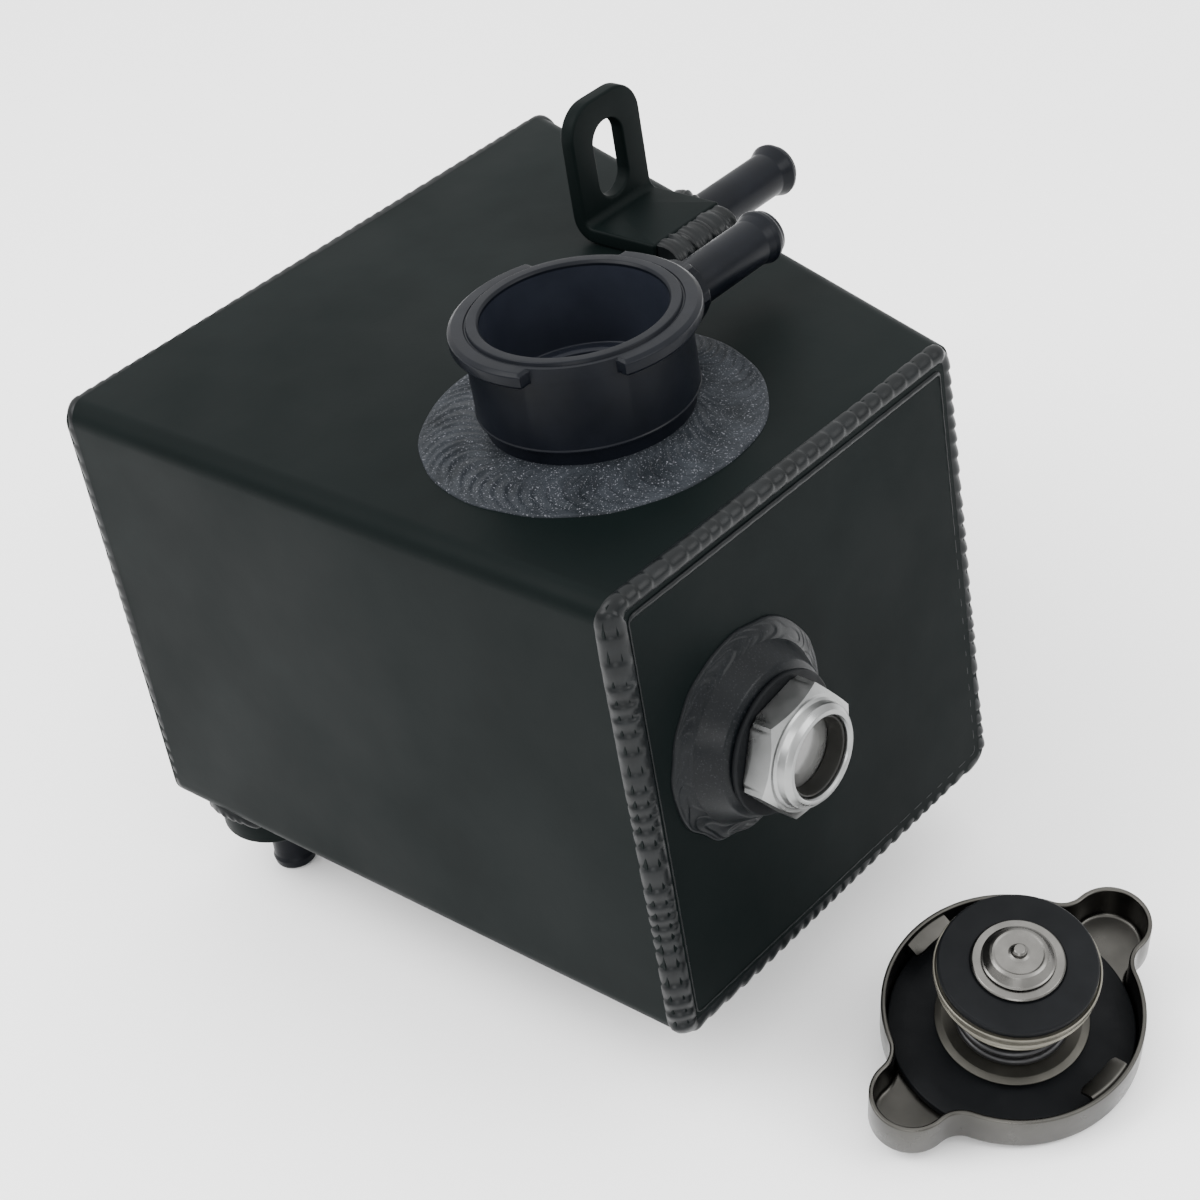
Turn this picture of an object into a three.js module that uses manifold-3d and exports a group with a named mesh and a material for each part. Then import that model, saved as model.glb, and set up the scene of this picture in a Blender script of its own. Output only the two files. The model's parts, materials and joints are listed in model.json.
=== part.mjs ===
// Coolant header tank: a folded and welded aluminium box with a filler neck,
// a radiator-type pressure cap set down beside it, two hose tails, a bottom outlet,
// a level sight glass and a slotted mounting bracket.
//
// Millimetres, +Z up. X runs along the front face, Y from the front to the back.
// The model is laid out from the left front corner of the tank's underside, and the
// exported frame has its origin at the middle of the bracket slot's outer mouth.
import * as THREE from "three";
import { mergeVertices } from "three/addons/utils/BufferGeometryUtils.js";
import Module from "manifold-3d";

// ---- driving dimensions -------------------------------------------------------
const GAP = 0.3;
const FACETS = { large: 44, medium: 30, small: 18 }; // sides of a turned piece
const TANK = { length: 173, depthLeft: 173, depthRight: 117, height: 118, sheet: 3, bend: 5.5 };
const BEAD = 3.4; // leg of the corner welds that close the two ends

const NECK = {
  x: 121.6, y: 54.7, rise: 27.7, flangeR: 27.7, barrelR: 24.8, boreR: 20.7, footR: 23.4,
  footRise: 6.6, seatDepth: 20.5, seatR: 16.2, ledge: 2.2, weldR: 39.5,
  notchAt: -49.5, notchWidth: 22,
};
const SPIGOT = {
  rise: 14.4, hexAF: 14, hexEnd: 35.2, tubeR: 5.6, boreR: 3.6, beadR: 6.5, bead: 61.9, end: 64.7,
};
const BRACKET = {
  faceX: 61.7, y: 129.75, width: 25, sheet: 4, top: 34, cornerR: 8.5, footEnd: 87.4,
  slotWidth: 10.4, slotLow: 7.3, slotHigh: 27.2,
};
const RETURN = { x: 69.2, drop: 10.4, tubeR: 5.9, boreR: 4.2, beadR: 7.1, bead: 184.4, end: 187 };
const OUTLET = { x: 19.8, y: 17.8, bungR: 15.4, bungDrop: 8.3, tubeR: 5.2, boreR: 3.2, drop: 25.4 };
const SIGHT = {
  y: 34.4, z: 65.65, bossR: 21, bossTopR: 15.5, bossEnd: 8.6, weldR: 25, portR: 14.5,
  sealEnd: 10.6, hexAF: 27, hexTurn: -22, hexEnd: 17, rimEnd: 20.4, rimR: 11.8,
  windowR: 9.25, glassFront: 15.2, glass: 3, shankR: 10.3,
};
const CAP = {
  x: 219.9, y: 55.5, tilt: 17.2, lean: -32.7, earsAt: 80.5,
  shellR: 29.3, sheet: 1.2, rim: 10, crownR: 18, crownRise: 4.4,
  earR: 9.3, earAt: 32, earFillet: 6, tabInner: 24, tabWidth: 13,
  plateR: 18.2, sealR: 17.8, sealTop: 28.4,
};
const FLOOR = -OUTLET.drop - GAP;

// ---- materials ----------------------------------------------------------------
function paint(color, roughness, metalness) {
  return new THREE.MeshStandardMaterial({ color, roughness, metalness });
}
const powderCoat = paint(0x23282a, 0.5, 0.3);
const weldCoat = paint(0x2c3133, 0.45, 0.4);
const neckCoat = paint(0x1b1f26, 0.4, 0.4);
const zincPlate = paint(0xb9bbb8, 0.32, 0.95);
const nickel = paint(0x8f8c86, 0.35, 0.95);
const goldChromate = paint(0x8c8060, 0.4, 0.9);
const springSteel = paint(0x3d3f40, 0.4, 0.9);
const blackRubber = paint(0x17181b, 0.7, 0);
const greyGlass = paint(0x777a78, 0.1, 0);

// ---- solids -------------------------------------------------------------------
const wasm = await Module();
wasm.setup();

const FROM_Y = new THREE.Matrix4().makeRotationX(Math.PI / 2); // a lathe's +Y becomes +Z
const ALONG_X = new THREE.Matrix4().makeBasis(
  new THREE.Vector3(0, 1, 0), new THREE.Vector3(0, 0, 1), new THREE.Vector3(1, 0, 0));

// One closed, outward-facing mesh with shared corners and no zero-area triangles.
function sealed(source) {
  const bare = source.clone();
  bare.deleteAttribute("normal");
  bare.deleteAttribute("uv");
  const merged = mergeVertices(bare, 1e-4);
  const at = merged.attributes.position;
  const corners = [];
  let volume = 0;
  const [a, b, c] = [new THREE.Vector3(), new THREE.Vector3(), new THREE.Vector3()];
  for (let i = 0; i < merged.index.count; i += 3) {
    const [p, q, r] = [0, 1, 2].map((k) => merged.index.getX(i + k));
    if (p === q || q === r || r === p) continue;
    corners.push(p, q, r);
    a.fromBufferAttribute(at, p);
    b.fromBufferAttribute(at, q);
    c.fromBufferAttribute(at, r);
    volume += a.dot(b.cross(c));
  }
  if (volume < 0) corners.reverse();
  merged.setIndex(corners);
  return merged;
}

function manifold(geometry) {
  const closed = sealed(geometry);
  return new wasm.Manifold(new wasm.Mesh({
    numProp: 3,
    vertProperties: new Float32Array(closed.attributes.position.array),
    triVerts: new Uint32Array(closed.index.array),
  }));
}

function combine(first, { add = [], cut = [], keep = [] }) {
  let body = manifold(first);
  for (const piece of add) body = body.add(manifold(piece));
  for (const piece of keep) body = body.intersect(manifold(piece));
  for (const piece of cut) body = body.subtract(manifold(piece));
  const result = body.getMesh();
  const geometry = new THREE.BufferGeometry();
  geometry.setAttribute("position", new THREE.BufferAttribute(result.vertProperties, 3));
  geometry.setIndex(new THREE.BufferAttribute(result.triVerts, 1));
  return geometry;
}

// A turned solid about Z from [radius, height] points; a profile off the axis is closed.
function turned(points, segments = FACETS.medium) {
  const profile = points.map(([r, z]) => new THREE.Vector2(r, z));
  if (points[0][0] > 0) profile.push(profile[0].clone());
  return sealed(new THREE.LatheGeometry(profile, segments).applyMatrix4(FROM_Y));
}

function ringOf(inner, outer, low, high, segments = FACETS.medium) {
  return turned([[inner, low], [outer, low], [outer, high], [inner, high]], segments);
}

function rod(radius, low, high, segments = FACETS.medium) {
  return turned([[0, low], [radius, low], [radius, high], [0, high]], segments);
}

function prism(shape, low, high, curveSegments = 6) {
  const geometry = new THREE.ExtrudeGeometry(shape, {
    depth: high - low, bevelEnabled: false, curveSegments,
  });
  return geometry.translate(0, 0, low);
}

function hexagon(acrossFlats, turn = 0) {
  const shape = new THREE.Shape();
  for (let i = 0; i < 6; i += 1) {
    const angle = turn + (i * Math.PI) / 3;
    const reach = acrossFlats / Math.sqrt(3);
    shape[i ? "lineTo" : "moveTo"](reach * Math.cos(angle), reach * Math.sin(angle));
  }
  return shape;
}

function block(x0, x1, y0, y1, z0, z1) {
  const box = new THREE.BoxGeometry(x1 - x0, y1 - y0, z1 - z0);
  return box.translate((x0 + x1) / 2, (y0 + y1) / 2, (z0 + z1) / 2);
}

// Turned pieces point along +Z; these lay them along +X or +Y at a place.
function alongX(geometry, x, y, z) {
  return geometry.clone().rotateY(Math.PI / 2).translate(x, y, z);
}

function alongY(geometry, x, y, z) {
  return geometry.clone().rotateX(-Math.PI / 2).translate(x, y, z);
}

// ---- the folded box -----------------------------------------------------------
// The tank's outline in the Y-Z plane, moved inwards by an inset (outwards if negative).
function outline(inset, asHole = false) {
  const r = Math.max(TANK.bend - inset, 1.5);
  const [y0, y1] = [inset, TANK.depthLeft - inset];
  const [z0, z1] = [inset, TANK.height - inset];
  const path = asHole ? new THREE.Path() : new THREE.Shape();
  path.absarc(y1 - r, z0 + r, r, -Math.PI / 2, 0, false);
  path.absarc(y1 - r, z1 - r, r, 0, Math.PI / 2, false);
  path.absarc(y0 + r, z1 - r, r, Math.PI / 2, Math.PI, false);
  path.absarc(y0 + r, z0 + r, r, Math.PI, 1.5 * Math.PI, false);
  path.closePath();
  return path;
}

// The back face runs in from the deep left end to the shallow right end.
function slantBack(geometry) {
  const at = geometry.attributes.position;
  const slope = (TANK.depthRight - TANK.depthLeft) / TANK.length;
  for (let i = 0; i < at.count; i += 1) {
    if (at.getY(i) > TANK.depthLeft / 2) at.setY(i, at.getY(i) + slope * at.getX(i));
  }
  return geometry;
}

function boxSection(outer, inner, x0, x1, bevel = 0) {
  const shape = outline(outer + bevel);
  if (inner !== null) shape.holes.push(outline(inner - bevel, true));
  const geometry = new THREE.ExtrudeGeometry(shape, {
    depth: x1 - x0 - 2 * bevel, curveSegments: 3, bevelEnabled: bevel > 0,
    bevelThickness: bevel, bevelSize: bevel, bevelSegments: 2,
  });
  return slantBack(geometry.applyMatrix4(ALONG_X).translate(x0 + bevel, 0, 0));
}

function nearSkin(thickness, around) {
  return combine(boxSection(-thickness, -GAP, 2, TANK.length - 2), { keep: [around] });
}

const wrapEnd = BEAD + GAP;
const topZ = TANK.height;
const neckAxis = [NECK.x, NECK.y];

function tankWrap() {
  const tube = boxSection(0, TANK.sheet, wrapEnd, TANK.length - wrapEnd);
  return combine(tube, {
    cut: [
      rod(NECK.footR + GAP, topZ - 12, topZ + 5, FACETS.large).translate(...neckAxis, 0),
      alongY(rod(RETURN.tubeR + GAP, 0, 60, FACETS.small), RETURN.x, 125, topZ - RETURN.drop),
      rod(OUTLET.bungR - 3.5, -5, 12).translate(OUTLET.x, OUTLET.y, 0),
    ],
  });
}

function endPlate(x0, x1, withPort) {
  const plate = boxSection(BEAD + GAP, null, x0, x1);
  if (!withPort) return plate;
  const port = alongX(rod(SIGHT.portR, -20, 5), TANK.length, SIGHT.y, SIGHT.z);
  return combine(plate, { cut: [port] });
}

function endBead(x0, x1) {
  return boxSection(-0.6, BEAD, x0, x1, 1.1);
}

function foldSeam() {
  const [x0, x1] = [12, TANK.length - 12];
  const bead = new THREE.Shape();
  bead.moveTo(-3.2, 0);
  bead.quadraticCurveTo(0, -2.6, 3.2, 0);
  bead.closePath();
  return prism(bead, x0, x1, 8).applyMatrix4(ALONG_X).translate(0, 62, -GAP);
}

// ---- filler neck ---------------------------------------------------------------
function fillerNeck() {
  const top = topZ + NECK.rise;
  const seat = top - NECK.seatDepth;
  const body = turned([
    [NECK.boreR, topZ - 2], [NECK.footR - 1, topZ - 2], [NECK.footR, topZ - 1],
    [NECK.footR, topZ + NECK.footRise], [NECK.barrelR, topZ + NECK.footRise],
    [NECK.barrelR, top - 4.4], [NECK.flangeR - 0.6, top - 4.2], [NECK.flangeR, top - 3.6],
    [NECK.flangeR, top - 1.6], [NECK.flangeR - 0.8, top - 0.8], [NECK.boreR + 3.4, top - 0.6],
    [NECK.boreR + 2.8, top], [NECK.boreR + 0.5, top], [NECK.boreR, top - 0.5],
    [NECK.boreR, seat],
    [NECK.seatR + 1.8, seat], [NECK.seatR + 0.7, seat + 0.9], [NECK.seatR, seat + 0.5],
    [NECK.seatR, seat - NECK.ledge], [NECK.boreR, seat - NECK.ledge],
  ], FACETS.large);
  const notches = [0, 180].map((turn) => block(
    NECK.barrelR + 0.1, NECK.flangeR + 3, -NECK.notchWidth / 2, NECK.notchWidth / 2,
    top - 6, top + 2,
  ).rotateZ(THREE.MathUtils.degToRad(NECK.notchAt + turn)));
  const port = alongY(rod(SPIGOT.tubeR + GAP, NECK.boreR - 5, 40, FACETS.small), 0, 0, topZ + SPIGOT.rise);
  return combine(body, { cut: [...notches, port] }).translate(...neckAxis, 0);
}

function neckWeld() {
  const low = topZ + GAP;
  return turned([
    [NECK.footR + GAP, low], [NECK.weldR, low], [NECK.weldR - 0.5, low + 0.5],
    [NECK.weldR - 6, low + 1.3], [NECK.footR + 4, low + 2.2], [NECK.footR + GAP, low + 2.9],
  ], FACETS.large).translate(...neckAxis, 0);
}

// A hose tail about Z with a rolled bead near its end, and a plain bore.
function hoseTail(tubeR, boreR, start, bead, end, beadR) {
  return turned([
    [boreR, start], [tubeR, start], [tubeR, bead - 2.2], [beadR - 0.25, bead - 0.9],
    [beadR, bead], [beadR - 0.3, bead + 0.8], [tubeR + 0.1, bead + 1.7], [tubeR - 0.3, end],
    [boreR, end],
  ], FACETS.small);
}

function neckSpigot() {
  const start = NECK.boreR + 0.5;
  const tail = hoseTail(SPIGOT.tubeR, SPIGOT.boreR, start, SPIGOT.bead, SPIGOT.end,
    SPIGOT.beadR);
  const hex = prism(hexagon(SPIGOT.hexAF), NECK.barrelR + GAP, SPIGOT.hexEnd);
  const chamfer = turned([
    [0, 20], [SPIGOT.hexAF / 2 + 0.9, 20], [SPIGOT.hexAF / 2 + 0.9, SPIGOT.hexEnd - 0.5],
    [SPIGOT.hexAF / 2 - 0.1, SPIGOT.hexEnd], [0, SPIGOT.hexEnd],
  ], FACETS.small);
  const nut = combine(hex, { keep: [chamfer] });
  const bore = rod(SPIGOT.boreR, start - 5, SPIGOT.end + 5, FACETS.small);
  return alongY(combine(nut, { add: [tail], cut: [bore] }), ...neckAxis, topZ + SPIGOT.rise);
}

// ---- mounting bracket ----------------------------------------------------------
function mountingBracket() {
  const { sheet, width, faceX, footEnd, top, cornerR } = BRACKET;
  const fold = 2; // inside radius
  const angle = new THREE.Shape();
  angle.moveTo(footEnd, 0);
  angle.lineTo(footEnd, sheet);
  angle.lineTo(faceX + sheet + fold, sheet);
  angle.absarc(faceX + sheet + fold, sheet + fold, fold, -Math.PI / 2, -Math.PI, true);
  angle.lineTo(faceX + sheet, top);
  angle.lineTo(faceX, top);
  angle.lineTo(faceX, fold + sheet);
  angle.absarc(faceX + sheet + fold, sheet + fold, fold + sheet, Math.PI, 1.5 * Math.PI, false);
  angle.closePath();
  const strip = prism(angle, -width / 2, width / 2).rotateX(Math.PI / 2);
  const front = new THREE.Shape();
  front.moveTo(-width / 2, -2);
  front.lineTo(width / 2, -2);
  front.absarc(width / 2 - cornerR, top - cornerR, cornerR, 0, Math.PI / 2, false);
  front.absarc(cornerR - width / 2, top - cornerR, cornerR, Math.PI / 2, Math.PI, false);
  front.closePath();
  const slotR = BRACKET.slotWidth / 2;
  const slot = new THREE.Shape();
  slot.absarc(0, BRACKET.slotHigh - slotR, slotR, 0, Math.PI, false);
  slot.absarc(0, BRACKET.slotLow + slotR, slotR, Math.PI, 2 * Math.PI, false);
  slot.closePath();
  const rounded = prism(front, faceX - 5, footEnd + 5, 9).applyMatrix4(ALONG_X);
  const hole = prism(slot, faceX - 5, faceX + sheet + 3, 7).applyMatrix4(ALONG_X);
  return combine(strip, { keep: [rounded], cut: [hole] })
    .translate(0, BRACKET.y, topZ + GAP);
}

function bracketWeld() {
  const leg = 3.6;
  const fillet = new THREE.Shape();
  fillet.moveTo(0, 0);
  fillet.lineTo(leg + 1, 0);
  fillet.quadraticCurveTo(leg - 0.4, BRACKET.sheet - 0.4, 0, BRACKET.sheet + 0.2);
  fillet.closePath();
  const half = BRACKET.width / 2 - 0.5;
  return prism(fillet, -half, half).rotateX(Math.PI / 2)
    .translate(BRACKET.footEnd + GAP, BRACKET.y, topZ + GAP);
}

// ---- return hose tail on the slanted back face ----------------------------------
const backY = TANK.depthLeft
  + ((TANK.depthRight - TANK.depthLeft) / TANK.length) * RETURN.x;

function returnTail() {
  const tail = hoseTail(RETURN.tubeR, RETURN.boreR, backY - 8, RETURN.bead, RETURN.end,
    RETURN.beadR);
  return alongY(tail, RETURN.x, 0, topZ - RETURN.drop);
}

function returnWeld() {
  const around = alongY(ringOf(RETURN.tubeR + GAP, RETURN.tubeR + 3.6, backY - 12, backY + 12,
    FACETS.small),
    RETURN.x, 0, topZ - RETURN.drop);
  return nearSkin(2.4, around);
}

// ---- bottom outlet ---------------------------------------------------------------
function outletBung() {
  const { bungR, bungDrop, tubeR } = OUTLET;
  return turned([
    [tubeR + GAP, -bungDrop], [bungR - 0.8, -bungDrop], [bungR, -bungDrop + 0.8],
    [bungR, -GAP], [bungR - 4, -GAP], [bungR - 4, 6], [tubeR + GAP, 6],
  ]).translate(OUTLET.x, OUTLET.y, 0);
}

function outletWeld() {
  const ring = ringOf(OUTLET.bungR + GAP, OUTLET.bungR + 2.2, -6, 8);
  const under = block(BEAD + GAP - OUTLET.x, 40, -40, 40, -6, 2);
  const around = combine(ring, { keep: [under] }).translate(OUTLET.x, OUTLET.y, 0);
  return nearSkin(2.2, around);
}

function outletTail() {
  const tail = hoseTail(OUTLET.tubeR, OUTLET.boreR, -3, OUTLET.drop - 2.2, OUTLET.drop, 5.7);
  return tail.rotateX(Math.PI).translate(OUTLET.x, OUTLET.y, 0);
}

// ---- level sight glass -------------------------------------------------------------
const onRightEnd = (geometry) => alongX(geometry, TANK.length, SIGHT.y, SIGHT.z);

function sightBoss() {
  const bore = SIGHT.shankR + GAP;
  return onRightEnd(turned([
    [bore, -5.5], [SIGHT.portR - GAP, -5.5], [SIGHT.portR - GAP, GAP], [SIGHT.bossR, GAP],
    [SIGHT.bossR, 2], [SIGHT.bossTopR + 2, SIGHT.bossEnd - 1.1],
    [SIGHT.bossTopR + 1.2, SIGHT.bossEnd - 0.3], [SIGHT.bossTopR, SIGHT.bossEnd],
    [bore, SIGHT.bossEnd],
  ]));
}

function sightBossWeld() {
  return onRightEnd(turned([
    [SIGHT.bossR + GAP, GAP], [SIGHT.weldR, GAP], [SIGHT.weldR - 0.4, 0.9],
    [SIGHT.weldR - 2, 1.6], [SIGHT.bossR + GAP, 2.6],
  ]));
}

function sightSeal() {
  return onRightEnd(turned([
    [SIGHT.shankR + GAP, SIGHT.bossEnd + GAP], [16, SIGHT.bossEnd + GAP],
    [16.5, SIGHT.bossEnd + 1], [16, SIGHT.sealEnd - GAP], [SIGHT.shankR + GAP, SIGHT.sealEnd - GAP],
  ]));
}

function sightBody() {
  const { hexAF, hexTurn, sealEnd, hexEnd, rimEnd, rimR, windowR, glassFront, glass, shankR } = SIGHT;
  const corner = hexAF / Math.sqrt(3);
  const hex = prism(hexagon(hexAF, THREE.MathUtils.degToRad(hexTurn)), sealEnd, hexEnd);
  const chamfer = turned([
    [0, sealEnd], [corner - 0.7, sealEnd], [corner + 0.1, sealEnd + 0.8],
    [corner + 0.1, hexEnd - 1.1], [hexAF / 2 - 0.2, hexEnd], [0, hexEnd],
  ]);
  const shank = rod(shankR, -7, sealEnd + 1);
  const rim = turned([
    [0, hexEnd - 1], [rimR, hexEnd - 1], [rimR, rimEnd - 1], [rimR - 1, rimEnd], [0, rimEnd],
  ]);
  const nut = combine(hex, { keep: [chamfer] });
  const seat = glassFront - glass - GAP;
  return onRightEnd(combine(nut, {
    add: [shank, rim],
    cut: [rod(windowR, seat, rimEnd + 2), rod(windowR - 1.8, -10, seat + 1)],
  }));
}

function sightWindow() {
  return onRightEnd(rod(SIGHT.windowR - GAP, SIGHT.glassFront - SIGHT.glass, SIGHT.glassFront));
}

function sightRetainer() {
  const low = SIGHT.glassFront + GAP;
  return onRightEnd(ringOf(SIGHT.windowR - 1.1, SIGHT.windowR - GAP, low, low + 3.6));
}

// ---- pressure cap --------------------------------------------------------------------
// The cap is laid out about its own axis: 0 is the inside of the crown and the axis
// points out of the open side, to the valve that would reach down the filler neck.
function capOutline(inset) {
  const big = CAP.shellR - inset;
  const small = CAP.earR - inset;
  const fillet = CAP.earFillet + inset;
  const [reach, near] = [big + fillet, small + fillet];
  const fx = (reach ** 2 - near ** 2 + CAP.earAt ** 2) / (2 * CAP.earAt);
  const fy = Math.sqrt(reach ** 2 - fx ** 2);
  const onShell = Math.atan2(fy, fx);
  const onEar = Math.atan2(fy, fx - CAP.earAt);
  const shape = new THREE.Shape();
  for (const side of [0, Math.PI]) {
    const turn = (x, y) => [x * Math.cos(side) - y * Math.sin(side),
      x * Math.sin(side) + y * Math.cos(side)];
    shape.absarc(...turn(fx, -fy), fillet, side + Math.PI - onShell, side + Math.PI - onEar, true);
    shape.absarc(...turn(CAP.earAt, 0), small, side - onEar, side + onEar, false);
    shape.absarc(...turn(fx, fy), fillet, side + onEar + Math.PI, side + onShell + Math.PI, true);
    shape.absarc(0, 0, big, side + onShell, side + Math.PI - onShell, false);
  }
  shape.closePath();
  return shape;
}

function capShell() {
  const { sheet, rim, crownR, crownRise, shellR, tabInner, tabWidth } = CAP;
  const outer = prism(capOutline(0), -sheet, rim, 5);
  const inner = prism(capOutline(sheet), 0, rim + 3, 5);
  const crown = turned([
    [0, -crownRise], [crownR - 1, -crownRise], [crownR, -crownRise + 1],
    [crownR, -sheet / 2], [0, -sheet / 2],
  ]);
  const dish = rod(crownR - sheet, sheet - crownRise, 2);
  const cup = combine(outer, { add: [crown], cut: [inner, dish, rod(2.3, -20, 20, FACETS.small)] });
  const tabs = [90, -90].map((turn) => block(
    tabInner, shellR - sheet / 2, -tabWidth / 2, tabWidth / 2, rim - 1.6, rim - 0.2,
  ).rotateZ(THREE.MathUtils.degToRad(turn)));
  return combine(cup, { add: tabs });
}

const bell = { radius: 10.5, wall: 1.2, low: 5.9, lip: 18.9, lipR: 12 };

function capRivet() {
  const outside = -CAP.crownRise - GAP;
  const head = bell.low + bell.wall + GAP;
  return turned([
    [0, outside - 1.3], [2.6, outside - 1.3], [4, outside - 0.4], [4, outside], [2, outside],
    [2, head], [4, head], [4, head + 0.5], [2.8, head + 1.2], [0, head + 1.2],
  ], FACETS.small);
}

function capBell() {
  return turned([
    [2.3, bell.low], [bell.radius - 0.8, bell.low], [bell.radius, bell.low + 0.8],
    [bell.radius, bell.lip], [bell.lipR, bell.lip], [bell.lipR, bell.lip + 1],
    [bell.radius - bell.wall, bell.lip + 1], [bell.radius - bell.wall, bell.low + bell.wall],
    [2.3, bell.low + bell.wall],
  ]);
}

class Helix extends THREE.Curve {
  constructor(radius, low, high, turns) {
    super();
    Object.assign(this, { radius, low, high, turns });
  }

  getPoint(t, target = new THREE.Vector3()) {
    const angle = 2 * Math.PI * this.turns * t;
    const z = this.low + (this.high - this.low) * t;
    return target.set(this.radius * Math.cos(angle), this.radius * Math.sin(angle), z);
  }
}

function coil(radius, wireR, low, high, turns, stepsPerTurn) {
  const wire = new THREE.Shape().absarc(0, 0, wireR, 0, 2 * Math.PI, false);
  const path = new Helix(radius, low + wireR, high - wireR, turns);
  return sealed(new THREE.ExtrudeGeometry(wire, {
    extrudePath: path, steps: Math.round(turns * stepsPerTurn), curveSegments: 3, bevelEnabled: false,
  }));
}

const plate = {
  cupLow: 17.6, cupR: 15.3, shoulder: 20.4, skirtR: 17.6, skirtLow: 22.2, top: 25.6, wall: 1,
};

function pressurePlate() {
  const { cupLow, cupR, shoulder, skirtR, skirtLow, top, wall } = plate;
  const inner = bell.radius + 0.5;
  return turned([
    [2, top - wall], [skirtR - wall, top - wall], [skirtR - wall, skirtLow + 0.6],
    [cupR - wall, shoulder + 0.6], [cupR - wall, cupLow + wall], [inner, cupLow + wall],
    [inner, cupLow], [cupR, cupLow], [cupR, shoulder], [skirtR, skirtLow],
    [skirtR, top - wall], [CAP.plateR, top - wall], [CAP.plateR, top + 0.6],
    [CAP.plateR - 0.3, top + 0.6], [CAP.plateR - 0.5, top], [2, top],
  ]);
}

function pressureSeal() {
  const [low, high] = [plate.top + GAP, CAP.sealTop];
  return turned([
    [7, low], [CAP.sealR - 0.4, low], [CAP.sealR - 0.2, high - 0.6], [CAP.sealR - 0.8, high],
    [7, high],
  ]);
}

function sealRetainer() {
  const low = plate.top + GAP;
  const high = CAP.sealTop + GAP;
  return turned([
    [5.2, low], [6.7, low], [6.7, high], [9.9, high], [10.3, high + 0.3], [9.9, high + 0.7],
    [5.2, high + 0.7],
  ]);
}

const valveSeat = CAP.sealTop + 1.3;

function vacuumValve() {
  return turned([
    [0, 18.2], [1.5, 18.2], [1.5, valveSeat], [8, valveSeat], [8.1, valveSeat + 0.4],
    [6.4, valveSeat + 2.1], [5.6, valveSeat + 2.4], [1.7, valveSeat + 2.4],
    [1.6, valveSeat + 3.5], [1.1, valveSeat + 3.9], [0, valveSeat + 3.9],
  ], 24);
}

// ---- scene graph -----------------------------------------------------------------------
function piece(name, geometry, material) {
  const mesh = new THREE.Mesh(geometry, material);
  mesh.name = name;
  return mesh;
}

const right = TANK.length;
const tank = new THREE.Group();
tank.add(
  piece("tank_wrap", tankWrap(), powderCoat),
  piece("end_plate_left", endPlate(0.4, 0.4 + TANK.sheet, false), powderCoat),
  piece("end_plate_right", endPlate(right - 0.4 - TANK.sheet, right - 0.4, true), powderCoat),
  piece("end_bead_left", endBead(-0.3, BEAD), weldCoat),
  piece("end_bead_right", endBead(right - BEAD, right + 0.3), weldCoat),
  piece("wrap_seam_bead", foldSeam(), weldCoat),
  piece("filler_neck", fillerNeck(), neckCoat),
  piece("filler_neck_weld", neckWeld(), weldCoat),
  piece("overflow_spigot", neckSpigot(), neckCoat),
  piece("mounting_bracket", mountingBracket(), powderCoat),
  piece("bracket_weld", bracketWeld(), weldCoat),
  piece("return_tail", returnTail(), powderCoat),
  piece("return_tail_weld", returnWeld(), weldCoat),
  piece("outlet_bung", outletBung(), powderCoat),
  piece("outlet_bung_weld", outletWeld(), weldCoat),
  piece("outlet_tail", outletTail(), powderCoat),
  piece("sight_boss", sightBoss(), neckCoat),
  piece("sight_boss_weld", sightBossWeld(), weldCoat),
  piece("sight_seal", sightSeal(), blackRubber),
  piece("sight_body", sightBody(), zincPlate),
  piece("sight_window", sightWindow(), greyGlass),
  piece("sight_retainer", sightRetainer(), blackRubber),
);

const cap = new THREE.Group();
cap.add(
  piece("cap_shell", capShell(), nickel),
  piece("cap_gasket", ringOf(12, 27.6, GAP, 2.4), blackRubber),
  piece("cap_diaphragm", turned([[2.3, 4.7], [17.2, 4.7], [17.2, 5.2], [16, 5.6], [2.3, 5.6]]),
    springSteel),
  piece("cap_rivet", capRivet(), nickel),
  piece("cap_bell", capBell(), goldChromate),
  piece("pressure_spring", coil(12.3, 0.9, bell.low, plate.cupLow - GAP, 3, 18), springSteel),
  piece("pressure_plate", pressurePlate(), goldChromate),
  piece("pressure_seal", pressureSeal(), blackRubber),
  piece("seal_retainer", sealRetainer(), nickel),
  piece("vacuum_valve", vacuumValve(), nickel),
  piece("vacuum_spring", coil(2.6, 0.35, 19.5, plate.top - plate.wall - GAP, 2.5, 10), springSteel),
  piece("vacuum_washer", ringOf(1.8, 3.6, 18.4, 19.2, FACETS.small), nickel),
);
cap.rotation.z = THREE.MathUtils.degToRad(CAP.earsAt);
const tilted = new THREE.Group();
const lean = THREE.MathUtils.degToRad(CAP.lean);
const tilt = THREE.MathUtils.degToRad(CAP.tilt);
tilted.quaternion.setFromAxisAngle(new THREE.Vector3(-Math.sin(lean), Math.cos(lean), 0), tilt);
// The tilted cap stands on the edge of its crown and the lower side of its rim.
const lowest = Math.max(
  CAP.crownR * Math.sin(tilt) + (CAP.crownRise - 1) * Math.cos(tilt),
  (CAP.crownR - 1) * Math.sin(tilt) + CAP.crownRise * Math.cos(tilt),
  CAP.shellR * Math.sin(tilt) + CAP.sheet * Math.cos(tilt),
);
tilted.position.set(CAP.x, CAP.y, FLOOR + lowest);
tilted.add(cap);

const headerTank = new THREE.Group();
const slotMiddle = topZ + GAP + (BRACKET.slotLow + BRACKET.slotHigh) / 2;
headerTank.position.set(-BRACKET.faceX, -BRACKET.y, -slotMiddle);
headerTank.add(tank, tilted);

export default headerTank;
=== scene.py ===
"""Looks of the coolant header tank and its loose pressure cap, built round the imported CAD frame."""
import json
import math
import bmesh
import bpy
import numpy as np
from mathutils import Matrix, Vector


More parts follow.
